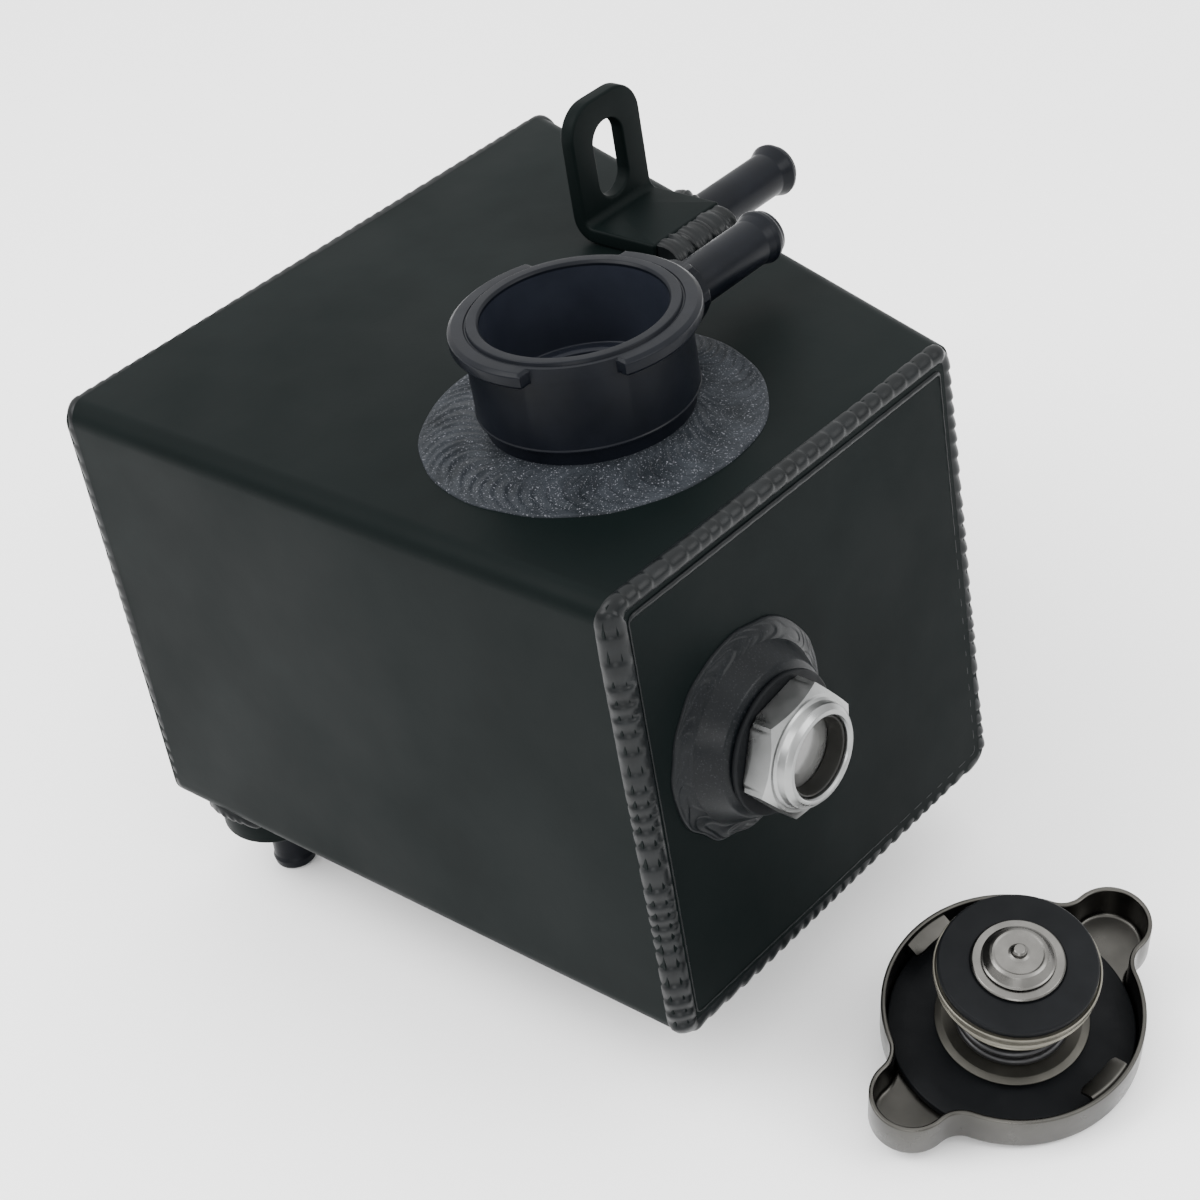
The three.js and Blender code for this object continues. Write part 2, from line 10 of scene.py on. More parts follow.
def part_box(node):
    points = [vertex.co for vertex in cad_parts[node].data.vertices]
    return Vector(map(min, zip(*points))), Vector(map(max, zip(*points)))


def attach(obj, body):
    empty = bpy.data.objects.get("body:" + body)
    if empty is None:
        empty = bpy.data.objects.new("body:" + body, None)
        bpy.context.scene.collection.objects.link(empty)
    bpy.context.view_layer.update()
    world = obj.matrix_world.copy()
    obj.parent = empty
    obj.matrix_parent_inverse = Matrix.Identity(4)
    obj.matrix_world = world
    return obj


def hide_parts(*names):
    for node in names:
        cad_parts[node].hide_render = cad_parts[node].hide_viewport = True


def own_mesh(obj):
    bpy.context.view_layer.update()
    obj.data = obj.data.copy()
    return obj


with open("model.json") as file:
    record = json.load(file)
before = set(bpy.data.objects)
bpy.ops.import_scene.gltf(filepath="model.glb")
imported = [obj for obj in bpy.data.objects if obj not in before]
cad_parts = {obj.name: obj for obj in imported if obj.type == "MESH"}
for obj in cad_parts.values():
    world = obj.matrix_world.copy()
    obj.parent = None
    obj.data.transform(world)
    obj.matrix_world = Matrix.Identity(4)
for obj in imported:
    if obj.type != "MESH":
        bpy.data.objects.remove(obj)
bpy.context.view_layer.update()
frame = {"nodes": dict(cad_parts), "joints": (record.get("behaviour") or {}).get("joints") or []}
MM = 0.001
TAU = 2 * math.pi

# ---- places, worked out from the frame ----
wrap_lo, wrap_hi = (Vector(c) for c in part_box("tank_wrap"))
bead_left = [Vector(c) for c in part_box("end_bead_left")]
bead_right = [Vector(c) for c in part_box("end_bead_right")]
neck_lo, neck_hi = (Vector(c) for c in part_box("filler_neck"))
END_PROUD = 0.3 * MM          # how far an end bead stands past the plain corner
SKIN_PROUD = 0.6 * MM         # how far an end bead stands out of the wrap
LEFT_X = bead_left[0].x + END_PROUD
RIGHT_X = bead_right[1].x - END_PROUD
FRONT_Y = wrap_lo.y
TOP_Z, BASE_Z = wrap_hi.z, wrap_lo.z
LENGTH = RIGHT_X - LEFT_X
DEPTH_LEFT = bead_left[1].y - SKIN_PROUD - FRONT_Y
DEPTH_RIGHT = bead_right[1].y - SKIN_PROUD - FRONT_Y
SLOPE = (DEPTH_RIGHT - DEPTH_LEFT) / LENGTH
SHEET = 3 * MM                # thickness of the wrap and the end sheets
UNDER = 2 * MM                # how far the sheets run in under the end welds
BEND = 5.5 * MM               # outside radius of the wrap's folds
NECK = Vector(((neck_lo.x + neck_hi.x) / 2, (neck_lo.y + neck_hi.y) / 2, TOP_Z))


def middle(node):
    low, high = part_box(node)
    return (Vector(low) + Vector(high)) / 2


# ---- materials ----
def link(tree, source, target):
    tree.links.new(source, target)


def noise(tree, coords, scale, detail=4.0, roughness=0.55):
    node = tree.nodes.new("ShaderNodeTexNoise")
    node.inputs["Scale"].default_value = scale
    node.inputs["Detail"].default_value = detail
    node.inputs["Roughness"].default_value = roughness
    link(tree, coords, node.inputs["Vector"])
    return node.outputs["Fac"]


def spread(tree, value, low, high, start=0.3, end=0.7):
    node = tree.nodes.new("ShaderNodeMapRange")
    node.inputs["From Min"].default_value = start
    node.inputs["From Max"].default_value = end
    node.inputs["To Min"].default_value = low
    node.inputs["To Max"].default_value = high
    link(tree, value, node.inputs["Value"])
    return node.outputs["Result"]


def ramp(tree, value, dark, light, start, end):
    node = tree.nodes.new("ShaderNodeValToRGB")
    first, last = node.color_ramp.elements
    first.position, last.position = start, end
    first.color, last.color = (*dark, 1), (*light, 1)
    link(tree, value, node.inputs["Fac"])
    return node.outputs["Color"]


TONE_BAND = (0.32, 0.68)      # the part of the noise that runs from dark to light
PAINTED_GLINT_BAND = (0.62, 0.72)     # the top of the noise, where the painted glints start and are full
PAINTED_GLINTS_PER_METRE = 2600
PAINTED_GLINT_BLUE = 1.1              # the painted glints are a little bluer than grey
ROUGHNESS_FINER = 2.3         # roughness wanders on a finer scale than tone
COAT_ROUGHNESS = 0.25


def material(name, dark, light, rough, metal=0.0, tone_scale=60, grains=(),
             coat=0.0, specular=0.5, painted_glint=0.0):
    """A surface whose colour wanders from dark to light, with roughness and fine relief.

    rough is (lowest, highest); each grain is (features per metre, strength, depth in mm), and
    sparkle is how bright the painted glints are: fine light flecks added to the colour, standing in for
    light glinting off a sandy surface.
    """
    mat = bpy.data.materials.new(name)
    mat.use_nodes = True
    tree = mat.node_tree
    shader = tree.nodes["Principled BSDF"]
    shader.inputs["Metallic"].default_value = metal
    shader.inputs["Specular IOR Level"].default_value = specular
    shader.inputs["Coat Weight"].default_value = coat
    shader.inputs["Coat Roughness"].default_value = COAT_ROUGHNESS
    coords = tree.nodes.new("ShaderNodeTexCoord").outputs["Object"]
    color = ramp(tree, noise(tree, coords, tone_scale), dark, light, *TONE_BAND)
    # Light flecks added to the base colour are painted glints, standing in for light catching the
    # grains of a sandy weld.
    if painted_glint:
        painted_glints = ramp(tree, noise(tree, coords, PAINTED_GLINTS_PER_METRE, 1.0), (0, 0, 0),
                      (painted_glint, painted_glint, painted_glint * PAINTED_GLINT_BLUE), *PAINTED_GLINT_BAND)
        add = tree.nodes.new("ShaderNodeMix")
        add.data_type = "RGBA"
        add.blend_type = "ADD"
        add.inputs["Factor"].default_value = 1
        link(tree, color, add.inputs["A"])
        link(tree, painted_glints, add.inputs["B"])
        color = add.outputs["Result"]
    link(tree, color, shader.inputs["Base Color"])

    wander = noise(tree, coords, tone_scale * ROUGHNESS_FINER, 3.0)
    link(tree, spread(tree, wander, *rough), shader.inputs["Roughness"])
    normal = None
    for scale, strength, depth in grains:
        bump = tree.nodes.new("ShaderNodeBump")
        bump.inputs["Strength"].default_value = strength
        bump.inputs["Distance"].default_value = depth * MM
        link(tree, noise(tree, coords, scale, 2.0), bump.inputs["Height"])
        if normal is not None:
            link(tree, normal, bump.inputs["Normal"])
        normal = bump.outputs["Normal"]
    if normal is not None:
        link(tree, normal, shader.inputs["Normal"])
    return mat


powder = material(
    "powder_coat", (0.0017, 0.0032, 0.0031), (0.0027, 0.0045, 0.0044), (0.42, 0.52),
    tone_scale=14, grains=((380, 0.12, 0.12), (1300, 0.18, 0.05)), specular=0.035)
plate_coat = material(
    "plate_coat", (0.0017, 0.0030, 0.0030), (0.0026, 0.0042, 0.0042), (0.44, 0.54),
    tone_scale=18, grains=((380, 0.12, 0.12), (1300, 0.20, 0.05)), specular=0.03)
bead_coat = material(
    "bead_coat", (0.0026, 0.0033, 0.0036), (0.0050, 0.0060, 0.0066), (0.28, 0.38),
    tone_scale=180, grains=((900, 0.25, 0.06), (2400, 0.2, 0.04)), specular=0.13)
# Lighter than the other weld coats: partly the fan weld's own lighter tone, partly a painted highlight
# standing in for the light its sandy front catches. Its flecks are painted glints.
fan_coat_and_painted_highlight = material(
    "fan_weld_coat_and_painted_highlight", (0.0082, 0.0098, 0.0117), (0.0195, 0.0222, 0.0262), (0.36, 0.48),
    tone_scale=120, grains=((1000, 0.4, 0.08), (2600, 0.45, 0.06)), specular=0.05, painted_glint=0.085)
# The faint light flecks in this coat are painted glints, standing in for the sandy highlight on the
# boss.
boss_coat = material(
    "boss_coat", (0.0017, 0.0024, 0.0030), (0.0030, 0.0039, 0.0048), (0.28, 0.38),
    tone_scale=60, grains=((700, 0.3, 0.08), (2400, 0.3, 0.04)), specular=0.11, painted_glint=0.01)
neck_coat = material(
    "neck_coat", (0.0018, 0.0024, 0.0038), (0.0032, 0.0040, 0.0062), (0.30, 0.40),
    tone_scale=70, grains=((1200, 0.2, 0.05), (2600, 0.15, 0.03)), specular=0.09)
bore_coat = material(
    "bore_coat", (0.0075, 0.0090, 0.0135), (0.0115, 0.0135, 0.0195), (0.34, 0.44),
    tone_scale=60, grains=((1200, 0.2, 0.05),), specular=0.12)
zinc = material(
    "zinc_plate", (0.165, 0.169, 0.168), (0.26, 0.264, 0.262), (0.24, 0.36), metal=1.0,
    tone_scale=60, grains=((260, 0.08, 0.05), (2600, 0.08, 0.02)))
glass = material(
    "smoky_glass", (0.070, 0.070, 0.068), (0.100, 0.100, 0.097), (0.08, 0.16),
    tone_scale=120, grains=((300, 0.05, 0.05),), coat=0.4)
nickel = material(
    "nickel_plate", (0.036, 0.035, 0.032), (0.062, 0.060, 0.055), (0.24, 0.36), metal=1.0,
    tone_scale=50, grains=((300, 0.08, 0.05), (2500, 0.08, 0.02)))
bright_ring = material(
    "bright_ring", (0.082, 0.080, 0.075), (0.130, 0.127, 0.120), (0.24, 0.34), metal=1.0,
    tone_scale=110, grains=((300, 0.08, 0.04), (2200, 0.08, 0.02)))
chromate = material(
    "gold_chromate", (0.085, 0.080, 0.064), (0.140, 0.133, 0.110), (0.28, 0.40), metal=0.7,
    tone_scale=80, grains=((500, 0.10, 0.05), (2500, 0.08, 0.02)))
inner_grey = material(
    "inner_grey", (0.0090, 0.0090, 0.0082), (0.0150, 0.0148, 0.0135), (0.4, 0.5),
    tone_scale=90, grains=((900, 0.2, 0.05),), specular=0.15)
olive = material(
    "olive_steel", (0.028, 0.027, 0.023), (0.046, 0.044, 0.038), (0.34, 0.46), metal=0.85,
    tone_scale=80, grains=((600, 0.12, 0.05),))
spring_dark = material(
    "dark_spring_steel", (0.014, 0.014, 0.015), (0.030, 0.030, 0.031), (0.34, 0.46),
    metal=0.7, tone_scale=110, grains=((900, 0.2, 0.05),))
rubber = material(
    "black_rubber", (0.0024, 0.0028, 0.0034), (0.0042, 0.0047, 0.0054), (0.50, 0.62),
    tone_scale=90, grains=((1400, 0.25, 0.05), (3000, 0.2, 0.03)), specular=0.08)


# ---- mesh helpers ----
def finished(obj, mat, body, replaces=(), sharp=38):
    """Gives a new piece its material, its body and the nodes that it stands for."""
    obj.data.materials.clear()
    obj.data.materials.append(mat)
    for polygon in obj.data.polygons:
        polygon.use_smooth = True
    obj.data.set_sharp_from_angle(angle=math.radians(sharp))
    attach(obj, body)
    if replaces:
        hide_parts(*replaces)
    return obj


def mesh_object(name, points, faces):
    mesh = bpy.data.meshes.new(name)
    mesh.from_pydata([tuple(p) for p in points], [], [tuple(f) for f in faces])
    mesh.validate()
    build = bmesh.new()
    build.from_mesh(mesh)
    bmesh.ops.remove_doubles(build, verts=build.verts, dist=2e-6)
    bmesh.ops.dissolve_degenerate(build, edges=build.edges, dist=1e-6)
    bmesh.ops.recalc_face_normals(build, faces=build.faces)
    build.to_mesh(mesh)
    build.free()
    obj = bpy.data.objects.new(name, mesh)
    bpy.context.scene.collection.objects.link(obj)
    return obj


def grid_faces(rows, cols, wrap_rows, wrap_cols):
    faces = []
    for i in range(rows if wrap_rows else rows - 1):
        for j in range(cols if wrap_cols else cols - 1):
            i2, j2 = (i + 1) % rows, (j + 1) % cols
            faces.append((i * cols + j, i2 * cols + j, i2 * cols + j2, i * cols + j2))
    return faces


def grid_object(name, grid, wrap_rows=True, wrap_cols=True, cap_rows=False):
    """A piece from a grid of points: rows run along it and columns run round it."""
    rows, cols = grid.shape[:2]
    faces = grid_faces(rows, cols, wrap_rows, wrap_cols)
    if cap_rows:
        faces.append(tuple(range(cols)))
        faces.append(tuple((rows - 1) * cols + j for j in range(cols)))
    return mesh_object(name, grid.reshape(-1, 3), faces)


def rounded(points, steps=5):
    """Rounds the corners of an open or closed outline of (a, b, radius) points."""
    done = []
    count = len(points)
    for i, (a, b, radius) in enumerate(points):
        if radius <= 0:
            done.append((a, b))
            continue
        here = np.array((a, b), float)
        before = np.array(points[i - 1][:2], float) - here
        after = np.array(points[(i + 1) % count][:2], float) - here
        len_before, len_after = np.linalg.norm(before), np.linalg.norm(after)
        before, after = before / len_before, after / len_after
        half = math.acos(np.clip(np.dot(before, after), -1, 1)) / 2
        if half > 1.55:
            done.append((a, b))
            continue
        reach = min(radius / math.tan(half), 0.49 * len_before, 0.49 * len_after)
        radius = reach * math.tan(half)
        bisector = before + after
        centre = here + bisector / np.linalg.norm(bisector) * radius / math.sin(half)
        start, end = here + before * reach - centre, here + after * reach - centre
        swing = math.atan2(start[0] * end[1] - start[1] * end[0], np.dot(start, end))
        for k in range(steps + 1):
            turn = swing * k / steps
            cos, sin = math.cos(turn), math.sin(turn)
            done.append(tuple(centre + (start[0] * cos - start[1] * sin,
                                        start[0] * sin + start[1] * cos)))
    return done


def axes_at(origin, axis, across=None):
    """A matrix whose Z runs along axis and whose X lies near across."""
    z = Vector(axis).normalized()
    x = Vector(across) if across else (Vector((1, 0, 0)) if abs(z.x) < 0.9 else Vector((0, 1, 0)))
    x = (x - z * x.dot(z)).normalized()
    y = z.cross(x)
    return Matrix((
        (x.x, y.x, z.x, origin[0]), (x.y, y.y, z.y, origin[1]), (x.z, y.z, z.z, origin[2]),
        (0, 0, 0, 1)))


def placed(grid_mm, matrix):
    flat = np.asarray(grid_mm, float).reshape(-1, 3) * MM
    m = np.array(matrix)
    return (flat @ m[:3, :3].T + m[:3, 3]).reshape(np.shape(grid_mm))


def lathe(name, profile, matrix, segments=144, shape=None):
    """Turns a profile of (radius, height, corner radius) in mm about the matrix's Z.

    shape(angle, radius, height) may change the radius and height as it goes round.
    """
    outline = rounded(profile)
    closed = min(r for r, _ in outline) > 1e-6
    grid = np.zeros((segments, len(outline), 3))
    for i in range(segments):
        angle = TAU * i / segments
        for j, (r, h) in enumerate(outline):
            if shape:
                r, h = shape(angle, r, h)
            grid[i, j] = (r * math.cos(angle), r * math.sin(angle), h)
    return grid_object(name, placed(grid, matrix), True, closed)


CREST = 0.78                  # how far along a ripple its highest point lies


def ripple_wave(x):
    """One overlapping scale of weld, from 0 to 1: a slow swell and then a steep fall."""
    x = np.mod(x, 1.0)
    swell_up = np.sin(0.5 * math.pi * np.minimum(x / CREST, 1.0)) ** 1.5
    fall = 0.5 + 0.5 * np.cos(math.pi * np.clip((x - CREST) / (1 - CREST), 0, 1))
    return swell_up * fall


def uneven(count, amount, seed):
    """A slow random wander along a weld, as a smooth list that closes on itself."""
    local = np.random.default_rng(seed)
    total = np.zeros(count)
    at = np.linspace(0, TAU, count, endpoint=False)
    for harmonic in range(2, 18):
        total += local.normal() / harmonic ** 0.6 * np.cos(harmonic * at + local.uniform(0, TAU))
    return amount * total / np.abs(total).max()


def bead(name, path, outward, sideways, radius, pitch, ripple, closed=True, around=26, seed=1,
         flat=1.0, lean=0.5, middle_angle=0.25 * math.pi, fade=0.65):
    """A weld bead of overlapping ripples along a path.

    path, outward and sideways are arrays of points and unit directions; the bead's section
    lies in the plane of outward and sideways. radius and ripple may be one value or one per
    point, and the ripples fade out at fade quarter turns from the section's middle angle. lean
    bows each ripple along the path, and flat widens the section along outward.
    """
    steps = np.linalg.norm(np.diff(path, axis=0, append=path[:1] if closed else path[-1:]), axis=1)
    run = np.concatenate([[0], np.cumsum(steps)[:-1]])
    count = len(path)
    if closed:
        length = steps.sum()
        phase = run / length * round(length / pitch) + uneven(count, 0.8, seed)
    else:
        phase = run / pitch + uneven(count, 0.3, seed)
    size = np.broadcast_to(radius, (count,)) * (1 + uneven(count, 0.03, seed + 1))
    height = np.broadcast_to(ripple, (count,)) * (1 + uneven(count, 0.35, seed + 2))
    angles = np.linspace(0, TAU, around, endpoint=False)
    grid = np.zeros((count, around, 3))
    for j, angle in enumerate(angles):
        off = math.remainder(angle - middle_angle, TAU) / (0.5 * math.pi)
        lift = height * ripple_wave(phase + lean * off * off) * max(0.0, 1 - (off / fade) ** 4)
        reach = (size + lift)[:, None]
        grid[:, j] = path + outward * reach * math.cos(angle) * flat \
            + sideways * reach * math.sin(angle)
    return grid_object(name, grid, closed, True, cap_rows=not closed)


FAN_EDGE = 0.45               # how thick a fan is at its outer edge, in mm
FAN_SINK = 0.6                # how far its underside is let into the metal, in mm


def fan(name, matrix, inner, outer, rise, waves, ripple, crescent, rows, seed=3, columns=24,
        power=1.5):
    """A wide ring of fan-shaped weld ripples round a fitting, in mm on the matrix's X-Y plane.

    crescent is how many ripples each one's ends lie ahead of its middle, and power sets how
    soon the rise towards the fitting starts.
    """
    theta = np.linspace(0, TAU, rows, endpoint=False)
    edge = uneven(rows, 0.5, seed)
    phase = waves * theta / TAU + uneven(rows, 0.6, seed + 1)
    strength = ripple * (1 + uneven(rows, 0.45, seed + 2))
    rings = []
    for j in range(columns):
        t = j / (columns - 1)
        radius = inner + (outer + edge - inner) * t
        off = 2 * t - 1
        wave = ripple_wave(phase + crescent * off * off)
        z = FAN_EDGE + rise * (1 - t) ** power + strength * (wave - 0.35) * math.sin(math.pi * t) ** 0.5
        rings.append((radius, z))
    rings.append((outer + edge + 0.25, np.full(rows, FAN_EDGE * 0.45)))
    rings.append((outer + edge + 0.35, np.full(rows, -FAN_SINK)))
    rings.append((np.full(rows, inner), np.full(rows, -FAN_SINK)))
    grid = np.stack([np.stack([radius * np.cos(theta), radius * np.sin(theta), z], axis=1)
                     for radius, z in rings], axis=1)
    return grid_object(name, placed(grid, matrix), True, True)


# ---- tank body ----
NECK_HOLE_R = 24.0            # in mm


def depth_at(x):
    return DEPTH_LEFT + SLOPE * (x - LEFT_X)


def tank_ring(x, inset, per_bend=14, per_side=30):
    """Points, and outward normals, round the tank's outline at one X, from the front foot up."""
    radius = max(BEND - inset, 1.5 * MM)
    y0, y1 = FRONT_Y + inset, FRONT_Y + depth_at(x) - inset
    z0, z1 = BASE_Z + inset, TOP_Z - inset
    corners = [(y0 + radius, z1 - radius, 180), (y1 - radius, z1 - radius, 90),
               (y1 - radius, z0 + radius, 0), (y0 + radius, z0 + radius, -90)]
    points, normals = [], []
    for index, (cy, cz, start) in enumerate(corners):
        for k in range(per_bend + 1):
            angle = math.radians(start - 90 * k / per_bend)
            normals.append((0, math.cos(angle), math.sin(angle)))
            points.append((x, cy + radius * math.cos(angle), cz + radius * math.sin(angle)))
        ny, nz, after = corners[(index + 1) % 4]
        last = points[-1]
        angle = math.radians(after)
        first = (x, ny + radius * math.cos(angle), nz + radius * math.sin(angle))
        for k in range(1, per_side):
            t = k / per_side
            points.append(tuple(a + (b - a) * t for a, b in zip(last, first)))
            normals.append((0, math.cos(angle), math.sin(angle)))
    return np.array(points), np.array(normals)


WAVINESS = 0.16 * MM


def swell(points):
    """The sheet's slight waviness, in metres along its normal."""
    x, y, z = points[:, 0], points[:, 1], points[:, 2]
    return WAVINESS * (np.sin(31 * x + 9 * z + 1.0) * np.cos(27 * z - 14 * y)
                       + 0.6 * np.sin(44 * y + 21 * x + 0.5))


def tank_body():
    stations = np.linspace(LEFT_X + UNDER, RIGHT_X - UNDER, 46)
    outer, inner = [], []
    for x in stations:
        points, normals = tank_ring(x, 0)
        outer.append(points + normals * swell(points)[:, None])
        inner.append(tank_ring(x, SHEET)[0])
    skin = np.array(outer + inner[::-1])
    body = grid_object("tank_body", skin, True, True)
    hole = lathe("neck_hole", [
        (0, -20, 0), (NECK_HOLE_R, -20, 0), (NECK_HOLE_R, 10, 0), (0, 10, 0)],
        axes_at(NECK, (0, 0, 1)), 96)
    cut = body.modifiers.new("neck", "BOOLEAN")
    cut.object = hole
    cut.operation = "DIFFERENCE"
    cut.solver = "EXACT"
    graph = bpy.context.evaluated_depsgraph_get()
    body.data = bpy.data.meshes.new_from_object(body.evaluated_get(graph))
    body.modifiers.clear()
    bpy.data.objects.remove(hole)
    return finished(body, powder, "tank", ["tank_wrap"], sharp=50)


def end_plate(side):
    """The slightly wavy end sheet, from rings of the outline drawn in to its middle."""
    outer = RIGHT_X if side == "right" else LEFT_X
    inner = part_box("end_plate_right")[0][0] if side == "right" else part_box("end_plate_left")[1][0]
    away = 1.0 if side == "right" else -1.0
    rim = tank_ring(outer, UNDER)[0]
    centre = rim.mean(axis=0)
    faces = []
    for x, waves in ((outer, 1.0), (inner, 0.0)):
        rings = []
        for shrink in np.linspace(1.0, 0.04, 26):
            ring = centre + (rim - centre) * shrink
            ring[:, 0] = x
            ring[:, 0] += away * waves * (swell(ring) - 0.1 * MM)
            rings.append(ring)
        faces.append(rings)
    grid = np.array(faces[0][::-1] + faces[1])
    obj = grid_object(f"end_sheet_{side}", grid, False, True, cap_rows=True)
    return finished(obj, plate_coat, "tank", [f"end_plate_{side}"], sharp=50)


def perimeter(x, inset, spacing=0.34 * MM):
    """Evenly spaced points and outward normals round the outline, for a weld to follow."""
    points, normals = tank_ring(x, inset, 24, 60)
    steps = np.linalg.norm(np.diff(points, axis=0, append=points[:1]), axis=1)
    run = np.concatenate([[0], np.cumsum(steps)])
    count = int(run[-1] / spacing)
    at = np.linspace(0, run[-1], count, endpoint=False)
    ring = np.vstack([points, points[:1]])
    tilt = np.vstack([normals, normals[:1]])
    path = np.stack([np.interp(at, run, ring[:, k]) for k in range(3)], axis=1)
    out = np.stack([np.interp(at, run, tilt[:, k]) for k in range(3)], axis=1)
    return path, out / np.linalg.norm(out, axis=1)[:, None]


def end_bead(side):
    """The ripple weld that rounds off the whole edge of one end."""
    x = RIGHT_X if side == "right" else LEFT_X
    edge, out = perimeter(x, 0)
    across = np.tile((1.0 if side == "right" else -1.0, 0, 0), (len(edge), 1))
    front = np.clip(-out[:, 1], 0, 1) ** 2
    top = np.clip(out[:, 2], 0, 1) ** 2
    calm = 1.0 if side == "right" else 0.5
    radius = (3.0 + 0.7 * front - 0.4 * top) * MM
    ripple = calm * (0.46 + 0.06 * front - 0.16 * top) * MM
    path = edge - (out + across) * radius[:, None]
    obj = bead(f"end_weld_{side}", path, out, across, radius, pitch=4.3 * MM, ripple=ripple,
               seed=5 if side == "right" else 11)
    return finished(obj, bead_coat, "tank", [f"end_bead_{side}"], sharp=60)


def toe_line(side):
    """The thin second pass that shows as a line on the end plate, along the top weld."""
    x = RIGHT_X if side == "right" else LEFT_X
    path, out = perimeter(x, 5.4 * MM, 0.8 * MM)
    top = np.clip(out[:, 2], 0, 1) ** 2
    across = np.tile((1.0 if side == "right" else -1.0, 0, 0), (len(path), 1))
    path -= across * 0.15 * MM
    obj = bead(f"end_weld_toe_{side}", path, out, across, radius=(0.12 + 0.33 * top) * MM,
               pitch=5 * MM, ripple=0.1 * MM, around=10, seed=8, middle_angle=0.5 * math.pi,
               flat=1.5)
    return finished(obj, bead_coat, "tank", sharp=60)


# ---- filler neck ----
# Sizes in mm, with heights above the tank's top.
NECK_RISE = (neck_hi.z - TOP_Z) / MM
FLANGE_R = (neck_hi.x - neck_lo.x) / 2 / MM
BARREL_R = 24.8
BORE_R = 20.7
FOOT_R, FOOT_RISE = 23.4, 6.6
NOTCH_AT = math.radians(-49.5)
NOTCH_HALF = 11.0             # half the width of a notch
NOTCH_DEEP = 3.2
NOTCH_SIDES = 1.4             # how steeply a notch's sides fall
SEAT_DEEP = 20.5              # from the rim down to the seat
SEAT_R, SEAT_THICK = 16.2, 2.2
SLEEVE = 0.8                  # the bore's own lining, which has its own finish
LINING_TOP = 1.2              # how far below the rim the lining ends
NECK_FAN_R = 38.8


def notched(angle, radius, height):
    """Cuts the two cam notches into the flange."""
    for turn in (0, math.pi):
        off = math.remainder(angle - NOTCH_AT - turn, TAU)
        if abs(off) < 0.6 and radius > BARREL_R and height > 1.5 * FOOT_RISE:
            edge = NOTCH_HALF - abs(math.sin(off)) * radius
            if edge > 0:
                radius = max(BARREL_R, radius - NOTCH_DEEP * min(1.0, edge * NOTCH_SIDES))
    return radius, height


def filler_neck():
    top = NECK_RISE
    seat = top - SEAT_DEEP
    profile = [
        (BORE_R + SLEEVE, -2, 0), (FOOT_R - 0.4, -2, 0.4), (FOOT_R, 1, 0), (FOOT_R, FOOT_RISE, 0.1),
        (BARREL_R + 0.2, FOOT_RISE, 0.12), (BARREL_R + 0.2, FOOT_RISE + 0.3, 0.15),
        (BARREL_R, FOOT_RISE + 0.6, 0.2), (BARREL_R, top - 4.2, 0.8), (FLANGE_R - 0.5, top - 4.3, 0.3),
        (FLANGE_R, top - 3.7, 0.5), (FLANGE_R, top - 1.4, 0.6), (FLANGE_R - 1.0, top - 0.7, 0.5),
        (BORE_R + 3.4, top - 0.6, 0.1), (BORE_R + 3.2, top - 0.85, 0.1),
        (BORE_R + 2.9, top - 0.85, 0.1), (BORE_R + 2.6, top, 0.3), (BORE_R + 0.5, top, 0.4),
        (BORE_R, top - 0.6, 0.3), (BORE_R, top - LINING_TOP, 0),
        (BORE_R + SLEEVE, top - LINING_TOP, 0)]
    obj = lathe("filler_neck_turned", profile, axes_at(NECK, (0, 0, 1)), 360, notched)
    finished(obj, neck_coat, "tank", ["filler_neck"], sharp=35)
    bore = lathe("filler_neck_bore", [
        (BORE_R, -2, 0), (BORE_R + SLEEVE, -2, 0), (BORE_R + SLEEVE, top - LINING_TOP, 0),
        (BORE_R, top - LINING_TOP, 0), (BORE_R, seat, 0.4), (SEAT_R + 2, seat, 0.3),
        (SEAT_R + 1, seat + 1.0, 0.4), (SEAT_R, seat + 0.4, 0.4),
        (SEAT_R, seat - SEAT_THICK, 0.3), (BORE_R, seat - SEAT_THICK, 0)],
        axes_at(NECK, (0, 0, 1)), 240)
    return finished(bore, bore_coat, "tank", sharp=35)


def neck_weld():
    obj = fan("neck_fan_weld", axes_at(NECK, (0, 0, 1)), FOOT_R - 0.2, NECK_FAN_R,
              rise=2.2, waves=60, ripple=0.5, crescent=-2.2, rows=1860, columns=30)
    return finished(obj, fan_coat_and_painted_highlight, "tank", ["filler_neck_weld"], sharp=70)


def tail_profile(tube, bore, start, bulge, end, bulge_r):
    """A hose tail in mm: a tube from start to end with a rolled bulge near its end."""
    return [
        (bore, start, 0.3), (tube, start, 0.3), (tube, bulge - 3.2, 1.5),
        (bulge_r - 0.4, bulge - 1.2, 0.8), (bulge_r, bulge - 0.2, 0.6),
        (bulge_r - 0.2, bulge + 0.9, 0.7), (tube + 0.2, bulge + 1.6, 0.4), (tube - 0.1, end, 0.5),
        (bore, end, 0.4)]


def hexagon_shape(across_flats, turn, front, face_r, fall):
    """Limits a turned profile to a hexagon, and keeps the front chamfer a true cone.

    The cone starts at face_r on the front face, and its radius grows by fall mm for each mm back.
    """
    def shape(angle, radius, height):
        off = math.remainder(angle - turn, math.pi / 3)
        limit = across_flats / 2 / math.cos(math.pi / 6 - abs(off))
        if radius > limit:
            radius = limit
            if height > front - 2:
                height = front - (limit - face_r) / fall
        return radius, height
    return shape


